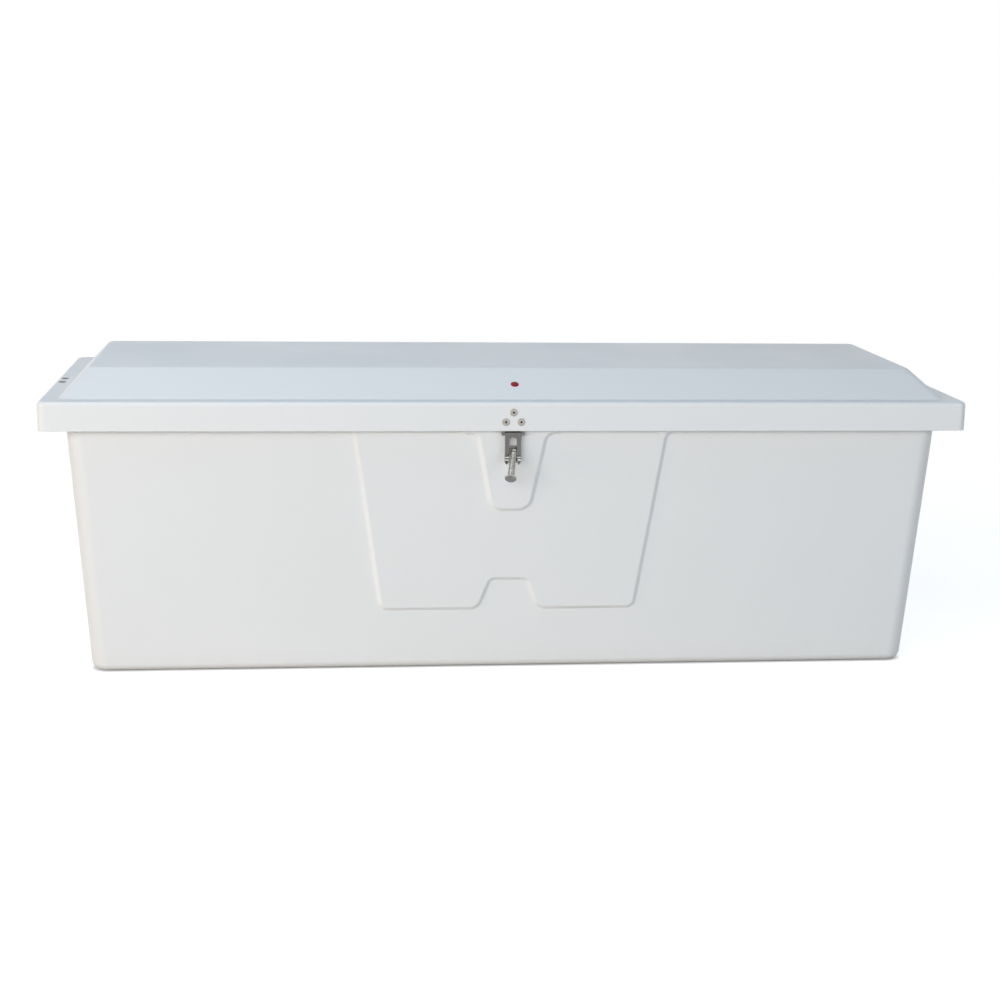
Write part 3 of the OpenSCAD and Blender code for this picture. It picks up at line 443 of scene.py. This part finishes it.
def on_diagonal(edge):
    """True for the hips, the rim's diagonals and the lip's upright corners."""
    a, b = (v.co for v in edge.verts)
    return a.x * b.x > 0 and a.y * b.y > 0


corner_count = pick("EDGE", on_diagonal)
bpy.ops.mesh.bevel(offset=lip_corner, segments=8, affect="EDGES", clamp_overlap=False)
done()
print("lid sheet:", corner_count, "corner edges rounded,", len(lid.data.polygons), "faces")

# %% Lid edges
edit(lid)


def near_plan_edge(edge, half, slack):
    """True for an edge that follows the outline of a rectangle in plan, round its corners too."""
    spot = middle(edge)
    inside = max(abs(spot.x) - half[0], abs(spot.y) - half[1])
    return -slack < inside < 1e-4


lip_loop = pick("EDGE", lambda e: at_height(rim_top)(e) and near_plan_edge(e, lid_half, lip_corner / 2))
bpy.ops.mesh.bevel(offset=lip_edge, segments=5, affect="EDGES", clamp_overlap=False)
foot_loop = pick("EDGE", lambda e: at_height(rim_top)(e) and near_plan_edge(e, foot_half, lip_corner / 2))
bpy.ops.mesh.bevel(offset=crown_foot, segments=3, affect="EDGES", clamp_overlap=False)
top_loop = pick("EDGE", at_height(lid_high.z))
bpy.ops.mesh.bevel(offset=crown_edge, segments=4, affect="EDGES", clamp_overlap=False)
bpy.ops.mesh.select_all(action="SELECT")
bpy.ops.mesh.normals_make_consistent(inside=False)
done()
print("lid edges rounded:", lip_loop, foot_loop, top_loop)

# %% Lid thickness
give(lid, gelcoat, flow_coat)
modifier(lid, "SOLIDIFY", thickness=lid_skin, offset=-1, use_even_offset=True, material_offset=1)
modifier(lid, "BEVEL", width=lid_trim, segments=2, limit_method="ANGLE", angle_limit=math.radians(60))
only(lid)
bpy.ops.object.shade_smooth()
modifier(lid, "WEIGHTED_NORMAL", keep_sharp=True, weight=100)
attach(lid, "lid")
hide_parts("lid")
print("lid:", triangles(lid), "triangles")

# %% [markdown]
# ## The tub
# The tub is a second moulding. Its walls lean out so that it leaves the mould, its corners and foot are round, and its
# rim turns outwards and down. The front carries a raised panel with a notch, and a latch pad raised once more on that
# panel. The outside and the inside are modelled as two open boxes, because the panel's soft edge is tighter than the
# wall is thick and would fold over itself if a single sheet were thickened. The rim then joins the two.

# %% Tub sizes
tub_low, tub_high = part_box("tub")
rim_half = (tub_high.x, tub_high.y)
rim_height = tub_high.z
tub_wall = 0.005
wall_draft = math.radians(3.7)
wall_half = (0.875, 0.303)
tub_corner = 0.035
tub_foot = 0.018
rim_return = 0.030
tub_trim = 0.0015
flange_under = rim_height - tub_wall
return_bottom = rim_height - rim_return
wall_slant = tub_wall / math.cos(wall_draft)


def wall_at(half, z):
    """Half size of the tub's outside at a height, from its half size at the rim."""
    return half - (rim_height - z) * math.tan(wall_draft)


def on_front(x, z, level):
    """Point in front of the tub's front wall by a level."""
    return Vector((x, -wall_at(wall_half[1], z) - level, z))


def front_level(point):
    """How far a point stands in front of the front wall."""
    return -point.y - wall_at(wall_half[1], point.z)


print("tub walls lean", round(math.degrees(wall_draft), 1), "degrees")


# %% Open box with leaning walls
def leaning_box(name, inset, floor, top, corner, foot):
    """Box whose walls lie inside the outer wall by an inset, with round corners and a round foot."""
    half_top = [wall_at(h, top) - inset for h in wall_half]
    half_floor = [wall_at(h, floor) - inset for h in wall_half]
    box = start_box(name, (-half_top[0], -half_top[1], floor), (half_top[0], half_top[1], top))
    edit(box)
    pick("FACE", at_height(floor))
    widen(half_top, half_floor, floor)
    pick("EDGE", lambda e: abs(e.verts[0].co.z - e.verts[1].co.z) > (top - floor) / 2)
    bpy.ops.mesh.bevel(offset=corner, segments=10, affect="EDGES", clamp_overlap=False)
    pick("EDGE", at_height(floor))
    foot_offset = foot * math.tan((math.radians(90) - wall_draft) / 2)
    bpy.ops.mesh.bevel(offset=foot_offset, segments=8, affect="EDGES", clamp_overlap=False)
    pick("FACE", lambda f: f.normal.y < -0.99 and f.calc_area() > 0.1)
    bpy.ops.mesh.delete(type="ONLY_FACE")
    return done()


outside = leaning_box("tub_moulding", 0, 0, flange_under, tub_corner, tub_foot)
inside = leaning_box("tub_inside", wall_slant, tub_wall, rim_height, tub_corner - tub_wall, tub_foot - tub_wall)
give(outside, gelcoat)
give(inside, flow_coat)
print("tub boxes:", len(outside.data.polygons), "and", len(inside.data.polygons), "faces")

# %% [markdown]
# ### The raised panel
# Its outline is drawn like any outline: one vertex is pulled from corner to corner, the loop is filled and each corner
# is rounded by its own radius. Insetting the face in small steps, each raised by the next part of a cosine, gives the
# soft S-shaped edge that a mould needs.

# %% Outlines of the panel and the pad, as corners with a radius, seen from the front
relief_step = 0.007
relief_out = 0.0095
relief_in = 0.0015
relief_steps = 10
panel_gap = 0.0125
pad_gap = 0.001
panel_top = flange_under - panel_gap
apron_low = 0.132
apron_half_low = 0.255
apron_lean = math.radians(8.3)
apron_round = 0.012
notch_height = 0.063
notch_half = (0.064, 0.040)
notch_round = 0.018
pad_low = 0.341
pad_half_low = 0.035
pad_lean = math.radians(11.1)
pad_round = 0.024
flare_round = 0.022
band_round = 0.004
flare_low = lip_bottom - 0.001
flare_width = 0.045
pad_flare_low = lip_bottom - 0.0035
pad_flare_width = 0.025
void_top = lip_bottom - 0.025


def mirrored(right_side):
    """Whole outline from its right-hand corners, which run upwards."""
    return right_side + [(-x, z, r) for x, z, r in reversed(right_side)]


def flared(half, width, low, top):
    """Corners of the band that a panel flares into under the lip."""
    return [(half, low, flare_round), (half + width, low, band_round), (half + width, top, band_round)]


def apron_half(z):
    """Half width of the panel at a height."""
    return apron_half_low + (z - apron_low) * math.tan(apron_lean)


def pad_half(z):
    """Half width of the latch pad at a height."""
    return pad_half_low + (z - pad_low) * math.tan(pad_lean)


apron_foot = [
    (notch_half[1], apron_low + notch_height, notch_round),
    (notch_half[0], apron_low, notch_round),
    (apron_half_low, apron_low, apron_round),
]
apron = mirrored(apron_foot + flared(apron_half(flare_low), flare_width, flare_low, panel_top))
pad_top = panel_top - relief_in - relief_out - pad_gap
pad = mirrored(
    [(pad_half_low, pad_low, pad_round)]
    + flared(pad_half(pad_flare_low), pad_flare_width, pad_flare_low, pad_top)
)
void = mirrored(apron_foot + [(apron_half(void_top), void_top, apron_round)])


def directions(corners, i):
    """Flat directions of the edges into and out of a corner."""
    before, here, after = (Vector(corners[k % len(corners)][:2]) for k in (i - 1, i, i + 1))
    return (here - before).normalized(), (after - here).normalized()


def grown(corners, by):
    """Outline moved outwards, with its round corners kept round."""
    moved = []
    for i, (x, z, r) in enumerate(corners):
        u, v = directions(corners, i)
        a, b = Vector((u.y, -u.x)), Vector((v.y, -v.x))
        spot = Vector((x, z)) + by * (a + b) / (1 + a.dot(b))
        turn = 1 if u.cross(v) > 0 else -1
        moved.append((spot.x, spot.y, max(r + turn * by, 0.001)))
    return moved


print("outlines:", len(apron), len(pad), len(void), "corners")


# %% Raised field
def raised_field(name, corners, low, high):
    """Field on the front wall that rises from one level to another by a soft edge round its outline."""
    foot = grown(corners, relief_out)
    points = [on_front(x, z, low) for x, z, _ in foot]
    field = pulled_line(name, points)
    bpy.ops.mesh.edge_face_add()
    for i, (x, z, r) in enumerate(foot):
        u, v = directions(foot, i)
        reach = r * math.tan(u.angle(v) / 2)
        pick("VERT", lambda e: (e.co - points[i]).length < 1e-5)
        bpy.ops.mesh.bevel(offset=reach, segments=6, affect="VERTICES", clamp_overlap=False)
    pick("FACE", lambda f: True)
    if bmesh.from_edit_mesh(field.data).faces[:][0].normal.y > 0:
        bpy.ops.mesh.flip_normals()
    rise = (high - low) * math.cos(wall_draft)
    for i in range(relief_steps):
        before, after = (1 - math.cos(math.pi * (i + k) / relief_steps) for k in (0, 1))
        bpy.ops.mesh.inset(thickness=(relief_out + relief_in) / relief_steps, depth=rise * (after - before) / 2)
    return done()


def fill_between(obj, test):
    """Fill the ring between two open loops whose edges pass a test."""
    edit(obj)
    count = pick("EDGE", lambda e: is_open(e) and test(middle(e)))
    bpy.ops.mesh.fill(use_beauty=True)
    done()
    return count


def drop_top(field, level):
    """Delete a field's flat top, to make room for the next one."""
    edit(field)
    pick("FACE", lambda f: f.calc_area() > 0.01 and front_level(middle(f)) > level)
    bpy.ops.mesh.delete(type="ONLY_FACE")
    done()


def join(first, *others):
    """Join pieces into the first one and weld them."""
    only(first, *others)
    bpy.ops.object.join()
    return first


half_step = relief_step / 2
panel = give(raised_field("front_panel", apron, 0, relief_step), gelcoat)
drop_top(panel, half_step)
latch_pad = give(raised_field("latch_pad", pad, relief_step, 2 * relief_step), gelcoat)
join(panel, latch_pad)
pad_edges = fill_between(panel, lambda m: front_level(m) > half_step)
join(outside, panel)
front_edges = fill_between(outside, lambda m: abs(front_level(m)) < half_step)
hollow = raised_field("panel_hollow", grown(void, -tub_wall), -tub_wall, relief_step - tub_wall)
give(hollow, flow_coat)
join(inside, hollow)
back_edges = fill_between(inside, lambda m: abs(front_level(m) + tub_wall) < half_step)
print("front filled between", pad_edges, front_edges, back_edges, "edges")

# %% [markdown]
# ### The rim
# The outer box is opened at the top and its border is pulled outwards, down, outwards by the wall's thickness and up
# again, which makes the turned rim. The inner box is turned inside out and a bridge closes the two borders.

# %% Rim and joined tub
return_half = [h - tub_wall for h in rim_half]
flange_half = [wall_at(h, flange_under) for h in wall_half]
for box, top in ((outside, flange_under), (inside, rim_height)):
    edit(box)
    pick("FACE", lambda f: f.normal.z > 0.9 and at_height(top)(f))
    bpy.ops.mesh.delete(type="ONLY_FACE")
    bpy.ops.mesh.select_all(action="SELECT")
    bpy.ops.mesh.remove_doubles(threshold=1e-5)
    bpy.ops.mesh.normals_make_consistent(inside=box is inside)
    done()

edit(outside)
pick("EDGE", lambda e: is_open(e) and at_height(flange_under)(e))
extrude((0, 0, 0))
widen(flange_half, return_half, flange_under)
extrude((0, 0, return_bottom - flange_under))
extrude((0, 0, 0))
widen(return_half, rim_half, return_bottom)
extrude((0, 0, rim_return))
done()

inside_faces = len(inside.data.polygons)
tub = join(outside, inside)
edit(tub)
border = pick("EDGE", is_open)
bpy.ops.mesh.bridge_edge_loops()
done()
print("tub:", border, "border edges bridged,", inside_faces, "faces inside")

# %% Tub edges
modifier(tub, "BEVEL", width=tub_trim, segments=3, limit_method="ANGLE", angle_limit=math.radians(50))
only(tub)
bpy.ops.object.shade_smooth()
modifier(tub, "WEIGHTED_NORMAL", keep_sharp=True, weight=100)
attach(tub, "tub")
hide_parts("tub")
print("tub:", triangles(tub), "triangles,", len(tub.data.materials), "finishes")

# %% [markdown]
# ## The hardware
# Turned and pressed metal has no razor edges. Each hinge leaf, nut and strut part is a copy of its frame piece with the
# flat faces joined up, every sharp edge rounded a little and the round faces shaded smooth, so that the edges catch
# the light.

# %% Dressed hardware
weld = 1e-6
metal_edge = 0.0003
body_of = {node: body for body, members in frame["record"]["behaviour"]["bodies"].items() for node in members}


def take_place(piece, node):
    """Let a piece stand for a node: on the same body, with the node hidden."""
    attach(piece, body_of[node])
    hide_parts(node)
    return piece


def copied(node):
    """Welded copy of a node's mesh, with its flat faces joined up."""
    piece = bpy.data.objects.new(node + "_piece", frame["nodes"][node].data.copy())
    scene.collection.objects.link(piece)
    only(piece)
    bpy.ops.mesh.customdata_custom_splitnormals_clear()
    edit(piece)
    bpy.ops.mesh.select_all(action="SELECT")
    bpy.ops.mesh.remove_doubles(threshold=weld)
    bpy.ops.mesh.dissolve_limited(angle_limit=math.radians(0.5))
    return done()


def soften(piece, width, segments=2, angle=32):
    """Round a piece's sharp edges and shade the rest smooth."""
    modifier(piece, "BEVEL", width=width, segments=segments, limit_method="ANGLE", angle_limit=math.radians(angle))
    only(piece)
    bpy.ops.object.shade_smooth_by_angle(angle=math.radians(angle))
    modifier(piece, "WEIGHTED_NORMAL", keep_sharp=True)
    return piece


def dressed(node, material, width=metal_edge, segments=2):
    """Softened copy of a node that takes its place."""
    return take_place(give(soften(copied(node), width, segments), material), node)


sides = ("left", "right")
hinges = ("left", "mid", "right")
plain_nodes = {
    sheet_steel: [f"hinge_{h}_{leaf}_leaf" for h in hinges for leaf in ("tub", "lid")]
    + [f"strut_{s}_{end}_bracket" for s in sides for end in ("tub", "lid")]
    + ["keeper_backing", "keeper_plate", "strut_lid_clips", "strut_tub_clips"],
    steel: [f"hinge_{h}_pin" for h in hinges]
    # The hasp leaf takes this dark steel, not the sheet steel of the other leaves: painted shade under the lip.
    + ["hasp_leaf", "hinge_tub_nuts", "hinge_lid_nuts", "keeper_nuts", "hasp_pin", "handle_washer", "handle_nut"],
    black_paint: [f"strut_{s}_tube" for s in sides],
    chrome: [f"strut_{s}_rod" for s in sides],
    nylon: [f"strut_{s}_{n}" for s in sides for n in ("tube_eye", "rod_eye", "gland", "piston")],
}
for material, nodes in plain_nodes.items():
    for node in nodes:
        dressed(node, material)
print("dressed:", sum(len(nodes) for nodes in plain_nodes.values()), "pieces")

# %% [markdown]
# ### The strap, the seal and the panel
# The hasp strap is a bent strip with two rolled ends. Two bands of each roll are painted in a far brighter steel: a
# painted highlight where the rolls would catch light from above. Their faces are picked by how much they lean. The
# seal's edges are rounded by less than half the width of its step, because a larger radius would fold the step over
# itself.

# %% Strap with its rolled ends
roll_axis = Vector((0, -0.3273, 0.4466))
roll_reach = 0.0051
roll_least = 0.004
strap_edge = 0.0009


def on_painted_highlight_band(face):
    """True for the two bands of the rolled ends that are painted bright, as a painted highlight."""
    out = middle(face) - roll_axis
    out.x = 0
    lean = math.degrees(math.asin(max(-1, min(1, face.normal.z))))
    return out.length < roll_reach and out.dot(face.normal) > roll_least and (28 < lean < 76 or -50 < lean < -8)


strap = give(soften(copied("hasp_strap"), strap_edge, 3), steel, painted_highlight_steel)
edit(strap)
# The bands picked here are painted with the bright steel: a painted highlight.
highlight_count = pick("FACE", on_painted_highlight_band)
strap.active_material_index = 1
bpy.ops.object.material_slot_assign()
take_place(done(), "hasp_strap")
# The count is of the faces that carry the painted highlight.
print("strap:", highlight_count, "faces rubbed bright")

# %% Seal and stiffening panel
seal_edge = 0.0006
core_edge = 0.0015
seal = dressed("lid_seal", rubber, seal_edge)
core = dressed("lid_core", plywood, core_edge, 3)
print("seal and panel:", triangles(seal), triangles(core), "triangles")

# %% [markdown]
# ### The handle
# The handle is a casting: its spindle, elbow, grip and head flow into each other. Remeshing the copy into one fine skin
# and smoothing it melts the joints into fillets, as wax would. The handle is painted in a brighter steel, a painted
# highlight, and the flat end of its head in the dark steel, a painted dark reflection.

# %% Cast handle
casting_grain = 0.0007
head_face = 0.0011
handle = copied("turn_handle")
modifier(handle, "REMESH", mode="VOXEL", voxel_size=casting_grain)
modifier(handle, "SMOOTH", factor=0.5, iterations=5)
modifier(handle, "DECIMATE", ratio=0.45)
only(handle)
bpy.ops.object.shade_smooth()
give(handle, handle_highlight_steel, steel)

latch_axis = Vector(next(j["axis"] for j in frame["record"]["behaviour"]["joints"] if j["name"] == "handle_turn"))
handle_bend = math.radians(38)
handle_lean = math.radians(15)
across = Vector((1, 0, 0))
grip_drop = latch_axis.cross(across) * math.cos(handle_lean) + across * math.sin(handle_lean)
grip_axis = latch_axis * math.cos(handle_bend) - grip_drop * math.sin(handle_bend)
head_end = max(v.co.dot(grip_axis) for v in handle.data.vertices)
edit(handle)
# The head's flat end gets the dark steel: a painted dark reflection.
pick("FACE", lambda f: middle(f).dot(grip_axis) > head_end - head_face)
handle.active_material_index = 1
bpy.ops.object.material_slot_assign()
take_place(done(), "turn_handle")
print("handle:", triangles(handle), "triangles")


# %% [markdown]
# ### Rivets, screws and the badge
# A blind rivet is a turned part: its wide flange, its shank and the bulb that grips the back are one profile, spun
# round its axis as on a lathe. The broken end of its mandrel stays behind, deep in the flange; it is painted near
# black, as painted shade for the hole. The screws get a cross recess, cut with a tapered cross as a punch would press
# it. The badge is turned too, as a shallow enamelled dome.

# %% Lathe
def turned(name, profile, steps=32):
    """Solid of revolution from a profile of (radius, height) pairs."""
    pulled_line(name, [Vector((r, 0, z)) for r, z in profile])
    bpy.ops.mesh.spin(steps=steps, angle=2 * math.pi, center=(0, 0, 0), axis=(0, 0, 1))
    bpy.ops.mesh.select_all(action="SELECT")
    bpy.ops.mesh.remove_doubles(threshold=weld)
    bpy.ops.mesh.normals_make_consistent(inside=False)
    return done()


def set_at(pattern, places):
    """Copies of a pattern joined into one piece; a place is a point and the direction that the top faces."""
    copies = []
    for spot, up in places:
        copy = bpy.data.objects.new(pattern.name, pattern.data.copy())
        scene.collection.objects.link(copy)
        copy.matrix_world = Matrix.Translation(spot) @ Vector(up).to_track_quat("Z", "Y").to_matrix().to_4x4()
        copies.append(copy)
    name = pattern.name
    bpy.data.objects.remove(pattern)
    only(*copies)
    bpy.ops.object.transform_apply(location=True, rotation=True, scale=True)
    if len(copies) > 1:
        bpy.ops.object.join()
    copies[0].name = name
    return copies[0]


print("lathe ready")

# %% Rivets
rivet_half = 0.00775
rivet_shank = 0.0024
rivet_bulb = 0.0036
rivet_grip = 0.0075
rivet_tail = 0.0035
mandrel_hole = 0.0021
rivet_back = -rivet_grip - rivet_tail
rivet_profile = [
    (0, rivet_back), (rivet_bulb * 0.7, rivet_back), (rivet_bulb, -rivet_grip - rivet_tail * 0.6),
    (rivet_bulb, -rivet_grip - rivet_tail * 0.3), (rivet_bulb * 0.85, -rivet_grip), (rivet_shank, -rivet_grip),
    (rivet_shank, 0), (rivet_half - 0.0002, 0), (rivet_half, 0.0002), (rivet_half, 0.0005),
    (rivet_half - 0.0003, 0.0008), (rivet_half * 0.84, 0.0013), (rivet_half * 0.70, 0.0016),
    (rivet_half * 0.50, 0.0018), (mandrel_hole + 0.0006, 0.0019), (mandrel_hole + 0.0002, 0.0018),
    (mandrel_hole, 0.0015), (mandrel_hole, -0.001), (0, -0.001)]
mandrel_profile = [
    (0, 0.0004), (0.0007, 0.0005), (0.0013, 0.0002), (mandrel_hole, 0), (mandrel_hole, -0.0015), (0, -0.0015)]
rivet_low = lip_bottom + 0.0182
tub_rivet_edge = 0.00025
rivet_rise = 0.019
rivet_side = 0.0152
stay_x = lid_high.x - 0.0155
stay_y = -0.040
stay_half = 0.024
rivet_places = {
    "hasp": [((x, lid_low.y, rivet_low + rise), (0, -1, 0)) for x, rise in (
        (0, rivet_rise), (-rivet_side, 0), (rivet_side, 0))],
    "stay": [((sx * stay_x, stay_y + sy * stay_half, rim_top), (0, 0, 1)) for sx in (-1, 1) for sy in (-1, 1)],
}


def smooth_turned(piece, material):
    """Shade a turned piece smooth, apart from its sharp edges, and give it its finish."""
    only(piece)
    bpy.ops.object.shade_smooth_by_angle(angle=math.radians(40))
    return give(piece, material)


rivet_finish = {"hasp": rivet_metal, "stay": steel}
for name, places in rivet_places.items():
    rivets = set_at(turned(name + "_rivet_set", rivet_profile), places)
    take_place(smooth_turned(rivets, rivet_finish[name]), name + "_rivets")
    mandrels = set_at(turned(name + "_mandrels", mandrel_profile), places)
    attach(smooth_turned(mandrels, mandrel_painted_shade), "lid")
dressed("strut_tub_rivets", rivet_metal, tub_rivet_edge)
print("rivets with mandrels:", sum(len(places) for places in rivet_places.values()))


# %% Cross recess
def cross_punch(name, reach, width, depth):
    """Tapered cross that points down, with its top at the origin."""
    bpy.ops.mesh.primitive_plane_add(size=width, enter_editmode=True)
    punch = bpy.context.object
    punch.name = name
    arm = reach - width / 2
    for x, y in ((1, 0), (-1, 0), (0, 1), (0, -1)):
        pick("EDGE", lambda e: is_open(e) and middle(e).dot(Vector((x, y, 0))) > width * 0.49)
        extrude((x * arm, y * arm, 0))
    pick("FACE", lambda f: True)
    bpy.ops.transform.translate(value=(0, 0, width))
    extrude((0, 0, -depth - width))
    bpy.ops.transform.resize(value=(0.55, 0.55, 1), center_override=(0, 0, -depth))
    bpy.ops.mesh.select_all(action="SELECT")
    bpy.ops.mesh.normals_make_consistent(inside=False)
    return done()


def heads_of(node, up):
    """Middle of each screw's head in a node: the vertices that lie furthest along the direction it faces."""
    places = []
    screws = copied(node)
    edit(screws)
    bpy.ops.mesh.separate(type="LOOSE")
    done()
    for screw in bpy.context.selected_objects:
        spots = [v.co for v in screw.data.vertices]
        reach = max(spot.dot(up) for spot in spots)
        rim = [spot for spot in spots if spot.dot(up) > reach - 1e-5]
        places.append((sum(rim, Vector()) / len(rim), up))
    for screw in bpy.context.selected_objects:
        bpy.data.objects.remove(screw)
    return places


print("cross punch ready")

# %% Screws
screw_edge = 0.00015
screw_faces = {
    "hinge_tub_screws": (Vector((0, 1, 0)), 0.0030),
    "hinge_lid_screws": (Vector((0, -1, 0)), 0.0030),
    "keeper_screws": (latch_axis, 0.0021),
}
for node, (up, reach) in screw_faces.items():
    punches = set_at(cross_punch("cross_punch", reach, reach * 0.36, reach * 0.5), heads_of(node, up))
    screws = copied(node)
    modifier(screws, "BOOLEAN", object=punches, operation="DIFFERENCE", solver="EXACT")
    bpy.data.objects.remove(punches)
    take_place(give(soften(screws, screw_edge), steel), node)
    print(node + ":", triangles(screws), "triangles")

# %% Badge
badge_half = 0.0082
badge_sunk = 0.0006
badge_profile = [
    (0, 0), (badge_half, 0), (badge_half, 0.0004), (badge_half * 0.96, 0.0008), (badge_half * 0.8, 0.0013),
    (badge_half * 0.55, 0.0017), (badge_half * 0.28, 0.0019), (0, 0.00195)]
crown_slope = Vector((0, -crown_height, crown_run[1])).normalized()
badge_low, badge_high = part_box("badge")
badge_foot = (badge_low + badge_high) / 2 - crown_slope * badge_sunk
badge = set_at(turned("badge_dome", badge_profile), [(badge_foot, crown_slope)])
take_place(smooth_turned(badge, enamel), "badge")
print("badge:", triangles(badge), "triangles")

# %% [markdown]
# ## Floor, light and background
# A plain pale floor takes the shadow. The light is that of an open yard: a wide key lamp at the front left, about as
# high as a person's head, a weaker fill at the front right, a warm touch from low on the left and a cool one from
# above. Two plain lamps behind the box keep its back and its right end from going grey. They are left out of
# reflections, because the flat lid would mirror them towards the camera. More than half of the key's light is left out
# of them too, so that its mirror image doesn't burn out the end of the lid as seen from behind. The background is white
# to the camera and in reflections, and it lights the box only weakly.

# %% Floor
floor_radius = 9
floor_fade = (1.0, 2.6)
floor_white = 0.70
contact_reach = 0.01


def seen_rays(tree):
    """One for a ray that ends in the picture: straight, by a reflection or through glass."""
    ray = add(tree, "ShaderNodeLightPath")
    seen = ray.outputs["Is Camera Ray"]
    for kind in ("Is Glossy Ray", "Is Transmission Ray"):
        seen = add(tree, "ShaderNodeMath", {0: seen, 1: ray.outputs[kind]}, operation="MAXIMUM").outputs[0]
    return seen


bpy.ops.mesh.primitive_circle_add(vertices=96, radius=floor_radius, fill_type="NGON", location=(0, 0, 0))
floor = bpy.context.object
floor.name = "floor"

floor_finish = bpy.data.materials.new("floor")
floor_finish.use_nodes = True
tree = floor_finish.node_tree
tree.nodes.clear()
seen = seen_rays(tree)
away = add(tree, "ShaderNodeVectorMath", {0: object_place(tree)}, operation="LENGTH")
far = add(tree, "ShaderNodeMapRange", {
    "Value": away.outputs["Value"], "From Min": floor_fade[0], "From Max": floor_fade[1]},
    interpolation_type="SMOOTHSTEP")
bounce = add(tree, "ShaderNodeMix", {
    0: seen, 6: (0.50, 0.45, 0.385, 1), 7: (floor_white, floor_white, floor_white, 1)}, data_type="RGBA")
pale = add(tree, "ShaderNodeBsdfDiffuse", {"Color": bounce.outputs[2]})
# Ambient occlusion darkens the floor's glow right at the box's foot: a painted contact shadow.
painted_contact_shadow = add(tree, "ShaderNodeAmbientOcclusion", {"Distance": contact_reach}, samples=8)
base_glow = add(tree, "ShaderNodeMath", {0: seen, 1: floor_white}, operation="MULTIPLY")
base_glow = add(tree, "ShaderNodeMath", {0: base_glow.outputs[0], 1: painted_contact_shadow.outputs["AO"]}, operation="MULTIPLY")
glow = add(tree, "ShaderNodeEmission", {"Strength": base_glow.outputs[0]})
near_floor = add(tree, "ShaderNodeAddShader", {0: pale.outputs[0], 1: glow.outputs[0]})
white = add(tree, "ShaderNodeEmission", {"Strength": seen})
share = add(tree, "ShaderNodeMath", {0: far.outputs[0], 1: seen}, operation="MULTIPLY")
whole = add(tree, "ShaderNodeMixShader", {0: share.outputs[0], 1: near_floor.outputs[0], 2: white.outputs[0]})
add(tree, "ShaderNodeOutputMaterial", {"Surface": whole.outputs[0]})
give(floor, floor_finish)
print("floor ready")

# %% Background
world = bpy.data.worlds.new("surround")
scene.world = world
world.use_nodes = True
tree = world.node_tree
tree.nodes.clear()
seen = seen_rays(tree)
ambient = add(tree, "ShaderNodeBackground", {"Color": (0.68, 0.83, 1.0, 1), "Strength": 0.27})
white = add(tree, "ShaderNodeBackground", {"Color": (1, 1, 1, 1), "Strength": 1.0})
whole = add(tree, "ShaderNodeMixShader", {0: seen, 1: ambient.outputs[0], 2: white.outputs[0]})
add(tree, "ShaderNodeOutputWorld", {"Surface": whole.outputs[0]})
print("background ready")


# %% Lamps
def lamp(name, place, target, size, power, colour):
    """Soft rectangular lamp that points at a target."""
    data = bpy.data.lights.new(name, "AREA")
    data.shape = "RECTANGLE"
    data.size, data.size_y = size
    data.energy = power
    data.color = colour
    obj = bpy.data.objects.new(name, data)
    scene.collection.objects.link(obj)
    obj.location = place
    obj.rotation_euler = (Vector(target) - Vector(place)).to_track_quat("-Z", "Y").to_euler()
    return obj


for name, power, in_reflections in (("key", 88, False), ("key_glint", 62, True)):
    key = lamp(name, (-2.3, -4.3, 1.6), (-0.1, -0.2, 0.35), (4.4, 1.6), power, (0.985, 0.99, 1.0))
    key.visible_glossy = in_reflections
lamp("fill", (2.6, -3.8, 0.9), (0.2, -0.3, 0.35), (2.4, 1.4), 23, (0.88, 0.96, 1.0))
lamp("warm_side", (-4.4, -2.0, 0.6), (-0.3, -0.3, 0.4), (1.4, 1.0), 32, (1.0, 0.72, 0.40))
lamp("sky", (-0.9, -0.6, 2.8), (-0.5, -0.1, 0.55), (2.4, 1.2), 12, (0.68, 0.86, 1.0))
for back_lamp in (
        lamp("back", (-0.9, 4.6, 0.9), (0, 0.3, 0.35), (4.4, 1.6), 72, (0.97, 0.98, 1.0)),
        lamp("right_end", (4.2, 2.4, 0.4), (0.9, 0, 0.35), (1.6, 0.7), 48, (0.97, 0.98, 1.0))):
    back_lamp.visible_glossy = False
